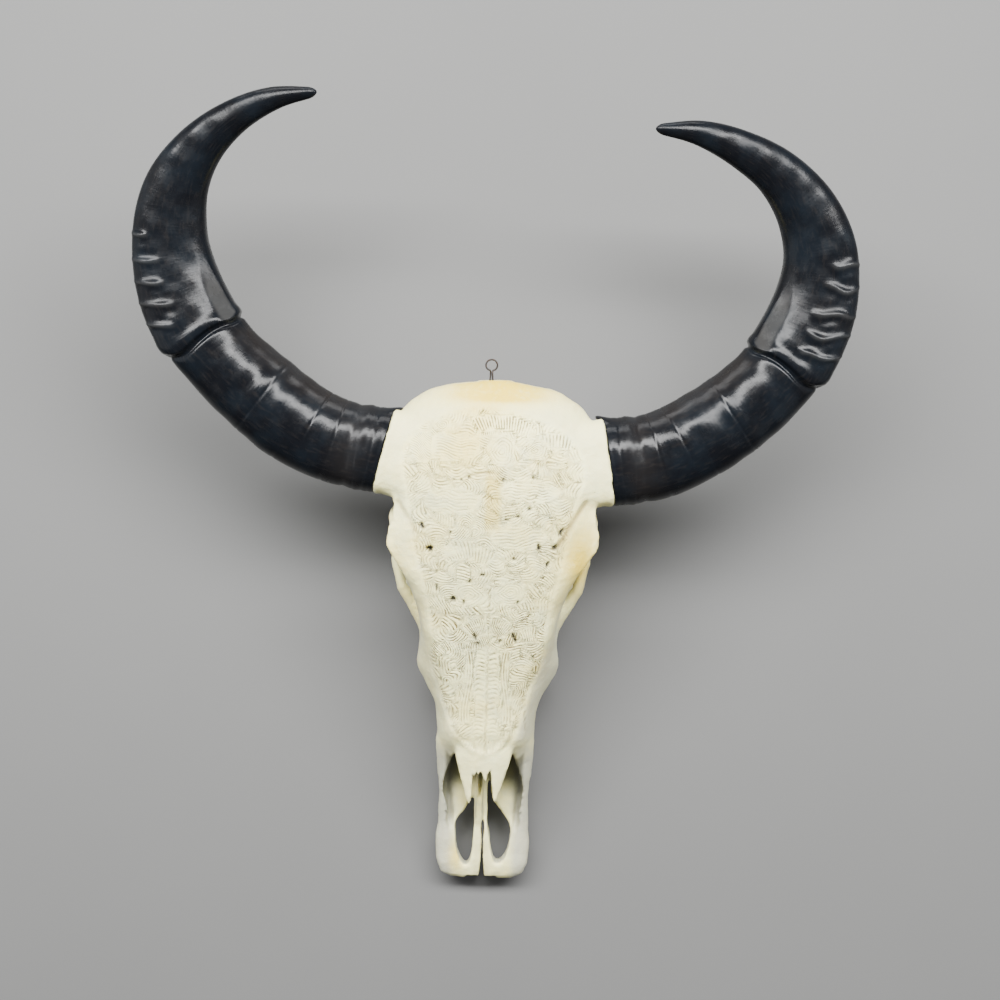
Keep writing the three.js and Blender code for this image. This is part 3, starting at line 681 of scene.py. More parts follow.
def carve(x, y):
    """Larger carving and wear in mm: how deep each point sinks, how much painted
    shade its hole gets, how brown its cracks and seams are (with a few patches
    of painted shade beside the eye sockets), and how far inside the panel it is."""
    depth = np.zeros_like(x)
    dark = np.zeros_like(x)
    for px, py, radius, deep, longer, turn in PITS:
        c, s = math.cos(math.radians(turn)), math.sin(math.radians(turn))
        dx, dy = (x - px) * c + (y - py) * s, (y - py) * c - (x - px) * s
        away = np.hypot(dx / longer, dy)
        wobble = 1 + 0.15 * np.sin(3 * np.arctan2(dy, dx) + px)
        hole = 1 - ramp(away, radius * wobble * 0.7, radius * wobble * 1.4)
        depth = np.maximum(depth, deep * hole)
        # painted shade darkening the inside of each hole
        dark = np.maximum(dark, hole * min(1, radius / 1.05))
    crack_and_shade = np.zeros_like(x)
    for line in SUTURES:
        wavy = near_line(x + 0.8 * np.sin(y * 0.9), y + 0.8 * np.sin(x * 0.8), line)
        crack_and_shade = np.maximum(crack_and_shade, 0.55 * bump(wavy, 0, 1.0))
    for n, line in enumerate(CREASE):
        crack_and_shade = np.maximum(crack_and_shade, (1.0, 0.35, 0.35)[n] * bump(near_line(x, y, line), 0, 0.9))
    for n, line in enumerate(BROW_GROOVES):
        crack_and_shade = np.maximum(crack_and_shade, (1.0, 0.6)[n] * bump(near_line(x, y, line), 0, 2.8))
    # brown-grey patches on the forehead; the ones beside the eye sockets (x about ±55, y 280 to 300) are
    # painted shade
    for cx, cy, reach, much in ((-57, 296, 9, 0.35), (-48, 282, 10, 0.3), (62, 286, 11, 0.35),
                                (-52, 236, 12, 0.2), (56, 240, 12, 0.2), (0, 255, 26, 0.16),
                                (-6, 330, 30, 0.1)):
        crack_and_shade = np.maximum(crack_and_shade, much * bump(np.hypot(x - cx, y - cy), 0, reach))
    crack_and_shade = np.maximum(crack_and_shade, 0.36 * bump(np.abs(x) - 0.15 * (y - 162), 29, 9) * bump(y, 204, 52)
                       * (0.6 + 0.4 * np.sin(y / 5 + x / 3)))
    border = near_line(x, y, U_BORDER)
    inside = -inside_outline(x, y, PANEL)
    depth = (depth + 1.4 * crack_and_shade * (crack_and_shade > 0.36) + 0.9 * ramp(inside, -0.5, 2.5)
             - 1.8 * bump(border, 0, 2.2))
    return depth, dark, crack_and_shade, inside


def weathering(x, y, z, up, inside, top):
    """Where the bone gets painted shade deep in the nose and its rim groove and on
    its steep, downward-facing and muzzle sides, where it is stained (one stain spot
    is a painted shadow at the left nose opening), bleached and open-pored: products
    of ramps and bells, in mm from the middle and the muzzle tip, the larger one
    where two meet."""
    across = np.abs(x)
    # painted shade deep inside the nose cavity and along the rim groove beside it
    cavity = (ramp(y, 66, 72) * ramp(-y, -190, -170) * ramp(41 - across, 0, 4) * ramp(84 - z, 0, 6)
              * ramp(z, 22, 28) * (0.25 + 0.75 * ramp(y, 84, 128)))
    cavity = cavity * (1 - 0.6 * ramp(8 - np.abs(x + 2), 0, 2) * ramp(118 - y, 0, 10))
    rim = near_line(across, y, [row[:2] for row in RIM_GROOVE])
    cavity = np.maximum(cavity, (0.12 + 0.7 * ramp(y, 58, 108)) * bump(rim, 0, 3.4)
                        * ramp(64 - z, 0, 14) * ramp(z, 26, 30))
    # painted shade on the nose's and the muzzle's sides and on all steep or downward-facing bone
    nose_side_shade = (np.where(x > 0, 0.8, 0.4) * ramp(across - 36 - 0.3 * (y - 180), -4, 5)
                 * ramp(-y, -290, -250) * ramp(y, 140, 165))
    lip_side_shade = ramp(-y, -165, -130) * ramp(across, 24, 36)
    side = np.maximum(ramp(-up, -0.6, 0.15), np.maximum(nose_side_shade, lip_side_shade))
    crest_end = ramp(-y, -507, -500)
    stain = (0.5 * ramp(x, -9, -3) * ramp(-x, -11, -5) * ramp(y, 352, 372) * ramp(-y, -426, -404)
             + 1.0 * ramp(y, 478, 488) * bump(x, 4, 50) * crest_end
             + 0.5 * bump(np.hypot((x - 8) / 2.6, y - 493), 0, 7)
             + 0.5 * ramp(y, 462, 480) * bump(x, 4, 70) * crest_end
             + 0.95 * bump(np.hypot(x - 84, (y - 335) * 0.6), 0, 20)
             + 0.42 * bump(np.hypot(x + 26, y - 440), 0, 34)
             # painted shadow: the tan spot at the left nose opening's edge
             + 0.7 * bump(np.hypot(x + 26, (y - 26) * 0.5), 0, 8)) * ramp(up, 0, 0.4)
    bleach = 0.8 * ramp(-inside, -2, 3) * ramp(y, 386, 430) * ramp(up, 0.1, 0.5)
    bleach = bleach * (1 - ramp(y, 468, 482) * bump(x, 4, 64))
    bleach = np.maximum(bleach, 0.9 * ramp(10 - np.abs(x + 1), 0, 5) * ramp(-y, -66, -56))
    bleach = np.maximum(bleach, 0.5 * ramp(-y, -142, -134) * ramp(z, 70, 80))
    bleach = np.maximum(bleach, 0.8 * bump(near_line(x, y, U_BORDER), 0, 2.2) * top)
    edge = ramp(across, 88, 96) * bump(y, 398, 7) * ramp(z, 120, 150)
    return cavity, side, np.clip(stain, 0, 1), np.clip(bleach, 0, 1), edge


def new_object(name, points, faces, smooth=True):
    """A mesh object from metre points and faces (arrays or a list)."""
    mesh = bpy.data.meshes.new(name)
    if isinstance(faces, np.ndarray):
        mesh.vertices.add(len(points))
        mesh.vertices.foreach_set("co", np.asarray(points, np.float32).ravel())
        mesh.loops.add(faces.size)
        mesh.loops.foreach_set("vertex_index", faces.ravel().astype(np.int32))
        mesh.polygons.add(len(faces))
        size = faces.shape[1]
        mesh.polygons.foreach_set("loop_start", np.arange(0, faces.size, size, dtype=np.int32))
        mesh.update(calc_edges=True)
    else:
        mesh.from_pydata([tuple(p) for p in points], [], faces)
    mesh.validate()
    if smooth:
        mesh.polygons.foreach_set("use_smooth", np.ones(len(mesh.polygons), bool))
    obj = bpy.data.objects.new(name, mesh)
    bpy.context.scene.collection.objects.link(obj)
    return obj


def set_values(obj, name, values):
    """Store one number at each vertex for the material to read."""
    layer = obj.data.attributes.new(name, "FLOAT", "POINT")
    layer.data.foreach_set("value", np.asarray(values, np.float32))


def grid_faces(rows, columns):
    """Quads of a grid of rows by columns, the columns joined round."""
    r, c = np.meshgrid(np.arange(rows - 1), np.arange(columns), indexing="ij")
    d = (c + 1) % columns
    return np.stack([r * columns + c, r * columns + d, (r + 1) * columns + d,
                     (r + 1) * columns + c], -1).reshape(-1, 4)


def closed_tube(name, rings):
    """Rows of ring points with a middle point closing each end."""
    rows, columns = rings.shape[:2]
    points = np.concatenate([rings.reshape(-1, 3), rings[0].mean(0)[None], rings[-1].mean(0)[None]])
    c = np.arange(columns)
    d = (c + 1) % columns
    first, last = rows * columns, rows * columns + 1
    start = np.stack([np.full(columns, first), d, c], 1)
    end = np.stack([np.full(columns, last), (rows - 1) * columns + c, (rows - 1) * columns + d], 1)
    faces = grid_faces(rows, columns).tolist() + start.tolist() + end.tolist()
    return new_object(name, at_place(points), faces)


def linear(code):
    """sRGB hex colour to Blender's linear colour."""
    value = np.array([int(code[i:i + 2], 16) for i in (1, 3, 5)]) / 255
    value = np.where(value <= 0.04045, value / 12.92, ((value + 0.055) / 1.055) ** 2.4)
    return (*value, 1.0)


def scale_of(millimetres):
    """Noise scale whose lumps are about this many millimetres."""
    return 1.0 / (millimetres * MM)


def add_node(tree, kind, inputs=None, out=0, **settings):
    """Add a shader node, set its properties, give each input in inputs, by
    name or number, its value or its link, and return one of its outputs."""
    node = tree.nodes.new("ShaderNode" + kind)
    for key, value in settings.items():
        setattr(node, key, value)
    for key, value in (inputs or {}).items():
        if isinstance(value, bpy.types.NodeSocket):
            tree.links.new(value, node.inputs[key])
        else:
            node.inputs[key].default_value = value
    return node.outputs[out]


def start_material(name, *values):
    """A material with an empty node tree, add_node for that tree, the object's
    own coordinates, and the numbers stored at the vertices, by name."""
    material = bpy.data.materials.new(name)
    material.use_nodes = True
    material.node_tree.nodes.clear()
    add = functools.partial(add_node, material.node_tree)
    stored = {value: add("Attribute", out="Fac", attribute_name=value) for value in values}
    return material, add, add("TexCoord", out="Object"), stored


def finish_material(material, surface):
    """Join the finished shader to the material's output."""
    output = material.node_tree.nodes.new("ShaderNodeOutputMaterial")
    material.node_tree.links.new(surface, output.inputs["Surface"])
    return material


def bone_material(colours):
    """Dry whitened bone, carved and sealed: chalky cream with yellow oil stains,
    brown dirt in cuts, finely porous; painted shade on the steep sides, in
    hollows, in pits and inside the nose."""
    material, add, place, stored = start_material(
        "whitened_bone", "side", "stain", "bleach", "hollow_shade", "cut_phase", "cut_strength", "crack_and_shade",
        "porous", "dark")
    broad = add("TexNoise", {"Vector": place, "Scale": scale_of(60), "Detail": 3, "Roughness": 0.5})
    middle = add("TexNoise", {"Vector": place, "Scale": scale_of(20), "Detail": 5, "Roughness": 0.62,
                              "Distortion": 0.5})
    small = add("TexNoise", {"Vector": place, "Scale": scale_of(5), "Detail": 4, "Roughness": 0.6,
                             "Distortion": 0.3})
    grain = add("TexNoise", {"Vector": place, "Scale": scale_of(1.5), "Detail": 4, "Roughness": 0.65})
    # a cut line lies where the phase is near a whole number, worn in patches
    whole = add("Math", {0: stored["cut_phase"]}, operation="ROUND")
    away = add("Math", {0: stored["cut_phase"], 1: whole}, operation="SUBTRACT")
    away = add("Math", {0: away}, operation="ABSOLUTE")
    line = add("MapRange", {0: away, 1: 0.05, 2: 0.32, 3: 1, 4: 0})
    line = add("Math", {0: line, 1: stored["cut_strength"]}, operation="MULTIPLY")
    wear = add("TexNoise", {"Vector": place, "Scale": scale_of(8), "Detail": 3, "Roughness": 0.55})
    wear = add("MapRange", {0: wear, 1: 0.38, 2: 0.58, 3: 0.25, 4: 1})
    line = add("Math", {0: line, 1: wear}, operation="MULTIPLY")
    pores = add("TexNoise", {"Vector": place, "Scale": scale_of(2.4), "Detail": 3, "Roughness": 0.6})
    pores = add("MapRange", {0: pores, 1: 0.66, 2: 0.76, 3: 0, 4: 0.5})
    pores = add("Math", {0: pores, 1: stored["porous"]}, operation="MULTIPLY")
    colour = colours.bone
    for share, tone in (
            (add("MapRange", {0: broad, 1: 0.36, 2: 0.66}), colours.bone_warm),
            (add("MapRange", {0: middle, 1: 0.46, 2: 0.72, 3: 0, 4: 0.7}), colours.bone_grey),
            # painted shade on the steep, downward-facing and muzzle sides
            (add("Math", {0: stored["side"], 1: 0.82}, operation="MULTIPLY"), colours.side),
            (stored["stain"], colours.stain),
            (stored["bleach"], colours.bleached),
            (add("MapRange", {0: small, 1: 0.5, 2: 0.8, 3: 0, 4: 0.35}), colours.bone_grey),
            # painted shade in hollows and slits
            (add("MapRange", {0: stored["hollow_shade"], 1: 0, 2: 1, 3: 0, 4: 0.9}), colours.hollow_shade),
            (add("Math", {0: line, 1: 0.95}, operation="MULTIPLY"), colours.dirt),
            # brown dirt in cracks and seams, and painted shade patches beside the eye sockets
            (add("Math", {0: stored["crack_and_shade"], 1: 0.7}, operation="MULTIPLY"), colours.crack_and_shade),
            (pores, colours.dirt),
            # painted shade in pits and inside the nose
            (stored["dark"], colours.pit)):
        colour = add("Mix", {0: share, 6: colour, 7: tone}, out=2, data_type="RGBA")
    height = 0.0
    for source, much in ((grain, 0.18), (small, 0.45), (line, -0.6), (pores, -0.5)):
        height = add("Math", {0: source, 1: much, 2: height}, operation="MULTIPLY_ADD")
    return finish_material(material, add("BsdfPrincipled", {
        "Base Color": colour,
        "Roughness": add("MapRange", {0: middle, 1: 0.3, 2: 0.8, 3: 0.5, 4: 0.68}),
        "IOR": 1.5,
        "Subsurface Weight": 0.08,
        "Subsurface Radius": (0.003, 0.002, 0.0012),
        "Normal": add("Bump", {"Height": height, "Strength": 1.0, "Distance": 0.0013}),
    }))


def horn_material(colours):
    """Polished horn sheath: near-black keratin, glossy, brown where thin,
    with fine lengthwise growth lines, small dents and polishing marks."""
    material, add, place, stored = start_material(
        "polished_horn", "along", "around", "brown", "crest_line")
    long_way = add("Math", {0: stored["along"], 1: 0.25}, operation="MULTIPLY")
    long_way = add("CombineXYZ", {0: long_way, 1: stored["around"]})
    fibre = add("TexNoise", {"Vector": long_way, "Scale": 30.0, "Detail": 4, "Roughness": 0.6})
    cross_way = add("Math", {0: stored["around"], 1: 0.12}, operation="MULTIPLY")
    cross_way = add("CombineXYZ", {0: stored["along"], 1: cross_way})
    growth = add("TexNoise", {"Vector": cross_way, "Scale": 42.0, "Detail": 3, "Roughness": 0.6})
    cloud = add("TexNoise", {"Vector": place, "Scale": scale_of(30), "Detail": 4, "Roughness": 0.55})
    small = add("TexNoise", {"Vector": place, "Scale": scale_of(5), "Detail": 4, "Roughness": 0.65})
    smudge = add("TexNoise", {"Vector": place, "Scale": scale_of(12), "Detail": 5, "Roughness": 0.65})
    colour = colours.horn
    for share, tone in (
            (add("MapRange", {0: cloud, 1: 0.42, 2: 0.72, 3: 0, 4: 0.8}), colours.horn_blue),
            (add("MapRange", {0: fibre, 1: 0.52, 2: 0.75, 3: 0, 4: 0.12}), colours.horn_brown),
            (stored["brown"], colours.horn_brown),
            (stored["crest_line"], colours.horn_worn)):
        colour = add("Mix", {0: share, 6: colour, 7: tone}, out=2, data_type="RGBA")
    # smudges, duller where brown, and a little duller above the step
    rough = add("MapRange", {0: smudge, 1: 0.35, 2: 0.7, 3: 0.15, 4: 0.29})
    rough = add("Math", {0: stored["brown"], 1: 0.22, 2: rough}, operation="MULTIPLY_ADD")
    upper = add("MapRange", {0: stored["along"], 1: 2.1, 2: 2.6, 3: 0, 4: 0.05})
    height = 0.0
    for source, much in ((fibre, 0.22), (small, 0.30), (growth, 0.35), (cloud, 0.7)):
        height = add("Math", {0: source, 1: much, 2: height}, operation="MULTIPLY_ADD")
    return finish_material(material, add("BsdfPrincipled", {
        "Base Color": colour,
        "Roughness": add("Math", {0: rough, 1: upper}, operation="ADD"),
        "IOR": 1.54,
        "Specular IOR Level": 0.12,
        "Normal": add("Bump", {"Height": height, "Strength": 0.5, "Distance": 0.0006}),
    }))


def tooth_material(colours):
    """Worn cheek tooth: ivory enamel, brown cement in grooves, satin."""
    material, add, place, stored = start_material("tooth_enamel", "groove")
    cloud = add("TexNoise", {"Vector": place, "Scale": scale_of(6), "Detail": 5, "Roughness": 0.6,
                             "Distortion": 0.5})
    stain = add("MapRange", {0: cloud, 1: 0.35, 2: 0.7})
    colour = add("Mix", {0: stain, 6: colours.tooth, 7: colours.tooth_brown}, out=2, data_type="RGBA")
    colour = add("Mix", {0: stored["groove"], 6: colour, 7: colours.tooth_dark}, out=2, data_type="RGBA")
    return finish_material(material, add("BsdfPrincipled", {
        "Base Color": colour, "Roughness": 0.38, "IOR": 1.6,
        "Normal": add("Bump", {"Height": cloud, "Strength": 0.5, "Distance": 0.0005}),
    }))


def wire_material(colours):
    """Dark annealed iron wire: brownish black, dull sheen, rust flecks."""
    material, add, place, _ = start_material("annealed_wire")
    fleck = add("TexNoise", {"Vector": place, "Scale": scale_of(2), "Detail": 4, "Roughness": 0.7})
    fleck = add("MapRange", {0: fleck, 1: 0.5, 2: 0.7})
    colour = add("Mix", {0: fleck, 6: colours.wire, 7: colours.wire_rust}, out=2, data_type="RGBA")
    return finish_material(material, add("BsdfPrincipled", {
        "Base Color": colour, "Metallic": 0.7, "Roughness": 0.5}))


def floor_material(colours):
    """Matt painted board: mid grey with the faintest unevenness."""
    material, add, place, _ = start_material("matt_board")
    cloud = add("TexNoise", {"Vector": place, "Scale": scale_of(300), "Detail": 3, "Roughness": 0.55})
    colour = add("Mix", {0: cloud, 6: colours.floor, 7: colours.floor_shade}, out=2, data_type="RGBA")
    return finish_material(material, add("BsdfPrincipled", {"Base Color": colour, "Roughness": 0.9}))


def colour_property(name, code, what):
    """A colour that a user can change, its default an sRGB hex value."""
    return bpy.props.FloatVectorProperty(name=name, description=what, default=linear(code), size=4,
                                         min=0.0, max=1.0, subtype="COLOR")


class SkullColours(bpy.types.PropertyGroup):
    """Colours of the object's finishes, their defaults given as sRGB hex."""
    bone: colour_property("Bone", "#F1EEB0", "Main colour of the whitened bone")
    bone_warm: colour_property("Warm bone", "#EADE94", "Yellower areas of the bone")
    bone_grey: colour_property("Grey bone", "#D0D1A6", "Greyer, more weathered areas")
    # Painted shade: colour of the bone's steep, downward-facing and muzzle sides
    side: colour_property("Bone side", "#A3A398", "Greyer bone on the steep sides")
    # Also paints a small shadow at the left nose opening's edge
    stain: colour_property("Oil stain", "#D3B530", "Yellow stain on forehead and crest")
    bleached: colour_property("Bleached bone", "#DAD49A", "Palest smooth bone")
    # Painted shade in hollows and slits, from how closely the bone surrounds a point
    hollow_shade: colour_property("Hollow", "#6B5F47", "Dusty colour inside hollows")
    dirt: colour_property("Dirt", "#6E5A2C", "Dirt in carved lines")
    # Also paints the shade patches beside the eye sockets
    crack_and_shade: colour_property("Crack", "#6F5828", "Brown dirt in cracks and seams")
    # Painted shade inside pits and the nose cavity
    pit: colour_property("Pit", "#2A261E", "Inside of small holes")
    horn: colour_property("Horn", "#08090C", "Main colour of the polished horn")
    horn_blue: colour_property("Cool horn", "#0D1217", "Slightly lighter cool areas")
    horn_brown: colour_property("Brown horn", "#3A342E", "Thin, browner areas")
    horn_worn: colour_property("Worn ridge", "#5A5A58", "Rubbed tops of ridges")
    tooth: colour_property("Tooth", "#DDD3B4", "Enamel")
    tooth_brown: colour_property("Tooth stain", "#B79C6B", "Stained enamel")
    tooth_dark: colour_property("Tooth groove", "#4A3A24", "Cement in grooves")
    wire: colour_property("Wire", "#2B2927", "Annealed wire")
    wire_rust: colour_property("Wire rust", "#4E3626", "Rust flecks on the wire")
    floor: colour_property("Floor", "#5F5F5E", "Floor board")
    floor_shade: colour_property("Floor shade", "#5B5B5A", "Faint floor variation")


class SkullSizes(bpy.types.PropertyGroup):
    """Sizes that set how fine and how deep the surfaces are."""
    grid_step: bpy.props.FloatProperty(
        name="Grid step", description="Spacing of the bone surface's grid, in millimetres",
        default=2.633, min=1.5, max=6.0)
    engraving: bpy.props.FloatProperty(
        name="Engraving depth", description="Depth of the carved lines, in millimetres",
        default=0.7, min=0.0, max=2.0)
    ridge: bpy.props.FloatProperty(
        name="Ridge height", description="Height of the horns' growth ridges, in millimetres",
        default=1.25, min=0.0, max=6.0)
    wire_radius: bpy.props.FloatProperty(
        name="Wire radius", description="Radius of the hanging wire, in millimetres",
        default=0.8, min=0.3, max=2.0)
    camera_height: bpy.props.FloatProperty(
        name="Camera height", description="Height of the camera above the floor",
        default=1.5, min=0.5, max=5.0, unit="LENGTH")
    camera_lens: bpy.props.FloatProperty(
        name="Camera lens", description="Focal length for a 36 mm sensor, in millimetres",
        default=51.5, min=20.0, max=200.0)
    camera_turn: bpy.props.FloatProperty(
        name="Camera turn", description="Turn of the camera about its line of sight",
        default=math.radians(1.76), subtype="ANGLE")


def finish_piece(obj, material, slot, *nodes):
    """Give a piece its material and body, and hide what it replaces; slot is not used."""
    obj.data.materials.append(material)
    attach(obj, "root")
    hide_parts(*nodes)


class SKULL_OT_bone(bpy.types.Operator):
    """Build the carved skull as one bone surface"""
    bl_idname = "skull.bone"
    bl_label = "Skull bone"

    def execute(self, context):
        sizes = context.scene.skull_sizes
        g, f = skull_field(sizes.grid_step)
        points, faces = surface_net(g, f)
        slopes = np.gradient(f, g.xs, g.ys, g.zs)
        normal = np.stack([read_grid(g, s, points) for s in slopes], 1)
        normal /= np.maximum(np.linalg.norm(normal, axis=1), 1e-6)[:, None]
        x, y, z = points.T
        up = normal[:, 2]
        # share of solid round each point: high in hollows and slits, where it paints shade on the bone
        solid = box_blur((f < 0).astype(np.float32), 3)
        hollow_shade = read_grid(g, solid, points)
        wide = read_grid(g, box_blur(solid, 6), points)
        top = ramp(up, 0.2, 0.55) * ramp(z - np.interp(y, HEAD[:, 0], HEAD[:, 1]), -48, -36)
        depth, dark, crack_and_shade, inside = carve(x, y)
        phase, strength, leaf = stroke_fields(x, y)
        panel = ramp(inside, 1.0, 4.0)
        strength = strength * top * panel * (0.35 + 0.65 * ramp(y, 148, 168))
        lumps = 0.45 * rough_noise(x, y, z, 34, 3) + 0.2 * rough_noise(x, y, z, 11, 5) - 0.45
        relief = 0.42 * (leaf - 0.8) * panel - depth - sizes.engraving * line_depth(phase, strength)
        fixed = (np.abs(z) < 1.5) | (hollow_shade > 0.98)
        points = points + normal * np.where(fixed, 0, lumps + relief * top)[:, None]
        obj = new_object("carved_skull", at_place(points), faces)
        cavity, side, stain, bleach, edge = weathering(x, y, z, up, inside, top)
        seam = 0.35 * np.clip(1 - leaf * 1.25, 0, 1) * panel
        for name, values in (
                ("cut_phase", phase),
                ("cut_strength", strength),
                # painted shade in pits and inside the nose
                ("dark", np.maximum(dark * top, 0.7 * cavity)),
                # brown dirt in cracks and seams, and painted shade patches beside the eye sockets
                ("crack_and_shade", np.maximum(crack_and_shade, seam) * top),
                # painted shade on the steep, downward-facing and muzzle sides
                ("side", side),
                ("stain", stain),
                ("bleach", bleach),
                # painted shade in hollows and slits
                ("hollow_shade", ramp(hollow_shade, 0.52, 0.8) * 0.5 + ramp(wide, 0.5, 0.85) * 0.5),
                ("porous", np.clip(0.35 + 0.65 * edge + 0.5 * panel, 0, 1))):
            set_values(obj, name, values)
        finish_piece(obj, bone_material(context.scene.skull_colours), "bone", "skull")
        return {"FINISHED"}


def horn_rings(horn, side, ridge_height, count_along, count_round):
    """Oval sections carried along the horn's centre line. Their size follows
    the table and rounds off at the tip; ridges, the step below them and the
    base's rings add height, and a flat facet is cut along the inner side."""
    v = np.concatenate([np.linspace(0, 1 - TIP_SHARE, count_along - TIP_ROWS),
                        1 - TIP_SHARE * (1 - np.linspace(0, 1, TIP_ROWS + 1)[1:]) ** 1.6])
    line = path_points(horn, v)
    centre, width, thick = line[:, :3], line[:, 3].copy(), line[:, 4].copy()
    tip = np.sqrt(np.clip(1 - np.clip((v - 0.984) / 0.016, 0, 1) ** 2, 0, 1))
    width, thick = width * tip * 0.995, thick * tip * 0.995
    way = np.gradient(centre, v, axis=0)
    speed = np.linalg.norm(way, axis=1)[:, None]
    way /= speed
    angle = COLLAR_ANGLE[side]
    start = np.array([side * math.cos(angle), math.sin(angle), 0])
    blend = np.clip(1 - v * 12, 0, 1)[:, None]
    way = way * (1 - blend) + start * blend
    way /= np.linalg.norm(way, axis=1)[:, None]
    outer = np.stack([side * way[:, 1], -side * way[:, 0], 0 * v], 1)
    outer /= np.linalg.norm(outer, axis=1)[:, None]
    up = side * np.cross(outer, way)
    up /= np.linalg.norm(up, axis=1)[:, None]
    a = np.linspace(0, 2 * math.pi, count_round, endpoint=False)
    u, w = np.cos(a)[None, :], np.sin(a)[None, :]
    vv = v[:, None]
    blunt = 0.8 + 0.2 * vv
    flat = (0.34 + 0.20 * ramp(-vv, -0.68, -0.58)) * ramp(vv, 0.30, 0.42) * ramp(-vv, -1.0, -0.86)
    half = width[:, None] / 2 * signed_power(u, blunt - 0.4 * flat * (u > 0))
    rise = thick[:, None] / 2 * signed_power(w, blunt - np.where(w > 0, flat, 0.0))
    inner = np.clip(-u, 0, 1)
    rise = rise * (1 - 0.3 * inner**2)
    half = half * np.where(w < 0, 1 - 0.16 * w * w, 1)
    step = STEPS[side]
    # facet along the inner side: everything past a slanted plane is cut off
    face = np.array([-0.55, 0.835])
    slant = half * face[0] + rise * face[1]
    cut = 1.3 * ramp(vv, step - 0.004, step + 0.012) * ramp(-vv, -0.56, -0.43)
    over = np.maximum(slant - (slant.max(axis=1, keepdims=True) - cut), 0) * (cut > 0.01)
    half, rise = half - over * face[0], rise - over * face[1]
    facet = ramp(over, 0.0, 0.9)
    share = 2 * half / np.maximum(width, 1)[:, None]
    tilt = side * (way[:, 0] / np.maximum(way[:, 1], 0.3))[:, None] * width[:, None] / 2 / speed
    below = ramp(u, 0.4, 0.8) * ramp(-w, -0.1, 0.3) * 0.4
    relief, crest = 0.0, 0.0
    for n, (at, reach) in enumerate(RIDGES[side]):
        bent = at + 0.9 * tilt * (share - 0.8) + 0.003 * ((share - 0.6) / 0.4) ** 2
        if side > 0:
            bent = bent + 0.0035 * np.sin(7 * share + 2.2 * n)
        upper = ramp(share, reach, reach + 0.25) * ramp(-share, -1.0, -0.94) * ramp(w, 0.0, 0.25)
        much = (upper + below) * (1 + 0.25 * np.sin(9 * share + 5 * n))
        relief = relief + ridge_height * much * bump(vv, bent, 0.0042)
        relief = relief - 0.6 * much * (bump(vv, bent - 0.012, 0.007) + bump(vv, bent + 0.012, 0.007))
        crest = np.maximum(crest, much * bump(vv, bent - 0.001, 0.0032))
    edge = step + 0.004 * np.sin(4 * a + 1.0)[None, :] + 0.012 * np.clip(u, 0, 1) ** 2
    lip = ramp(vv, edge, edge + 0.006) * (1 - ramp(vv, step + 0.03, step + 0.2)) * (0.75 + 0.25 * u)
    relief = relief + 3.4 * lip + 1.0 * bump(vv, edge + 0.014, 0.010)
    relief = relief - 1.9 * bump(vv, edge - 0.004, 0.0045)
    relief = (relief + 1.4 * bump(vv, 0.012, 0.016) + 1.3 * bump(vv, 0.036, 0.009)
              - 0.9 * bump(vv, 0.056, 0.006))
    lower = ramp(vv, 0.05, 0.09) * ramp(-vv, -step + 0.005, -step + 0.04)
    wander = 0.25 * np.sin(2 * a + 0.7)[None, :]
    relief = relief + lower * (0.28 * np.sin(vv * 83 + wander + 2.1 * np.sin(vv * 27)) - 0.2)
    for n, at in enumerate((0.008, 0.021, 0.029, 0.041, 0.086, 0.131, 0.168, 0.236)):
        line = bump(vv, at + 0.003 * np.sin(2 * a + at * 90)[None, :], 0.0028)
        relief = relief - (0.5 if n < 4 else 0.42) * line * ramp(np.cos(a - n * 1.9)[None, :], -1.2, 0.4)
    length = np.maximum(np.hypot(half, rise), 1e-6)
    relief = relief * np.minimum(1, length / 8) - 0.45 * np.minimum(1, length / 8)
    rings = (centre[:, None, :] + outer[:, None, :] * (half * (1 + relief / length))[..., None]
             + up[:, None, :] * (rise * (1 + relief / length))[..., None])
    dents = 0.35 * rough_noise(rings[..., 0], rings[..., 1], rings[..., 2], 30, 11) - 0.15
    lap = ramp(-u, 0.80, 0.97) * ramp(0.014 - vv, 0, 0.012) * ramp(w, -0.6, 0.0)
    rings = rings - (start * 7 + outer[:, None, :] * 4) * lap[..., None]
    sink = dents * w * ramp(vv, 0.0, 0.06) * tip[:, None]
    rings = rings + up[:, None, :] * sink[..., None]
    crest = np.maximum(crest, 1.3 * facet * ramp(-vv, -0.54, -0.46))
    brown = np.maximum(0.08 * facet * ramp(-vv, -0.54, -0.46), 0.1 * bump(vv, 0.05, 0.03) + 0 * u)
    brown = np.maximum(brown, 0.12 * ramp(-u, 0.3, 0.8) * ramp(w, -0.2, 0.4) * lower)
    shape = rings.shape[:2]
    return rings, *(np.broadcast_to(item, shape) for item in (crest, brown, vv, a[None, :]))


class SKULL_OT_horns(bpy.types.Operator):
    """Build both horn sheaths"""
    bl_idname = "skull.horns"
    bl_label = "Horn sheaths"

    def execute(self, context):
        sizes = context.scene.skull_sizes
        material = horn_material(context.scene.skull_colours)
        rows, columns = HORN_GRID
        for side, horn, word in ((-1, HORN_LEFT, "left"), (1, HORN_RIGHT, "right")):
            rings, crest, brown, along, turn = horn_rings(horn, side, sizes.ridge, rows, columns)
            obj = closed_tube("polished_horn_" + word, rings[:-1])
            # along and around are the coordinates of the growth lines' pattern
            for name, values in (("crest_line", crest * 0.12), ("brown", brown), ("along", along * 5.6),
                                 ("around", np.abs(turn - math.pi) * 0.4)):
                ends = [values[0].mean(), values[-2].mean()]
                set_values(obj, name, np.concatenate([values[:-1].ravel(), ends]))
            fix_outside(obj)
            finish_piece(obj, material, "horn", "horn_sheath_" + word)
        return {"FINISHED"}


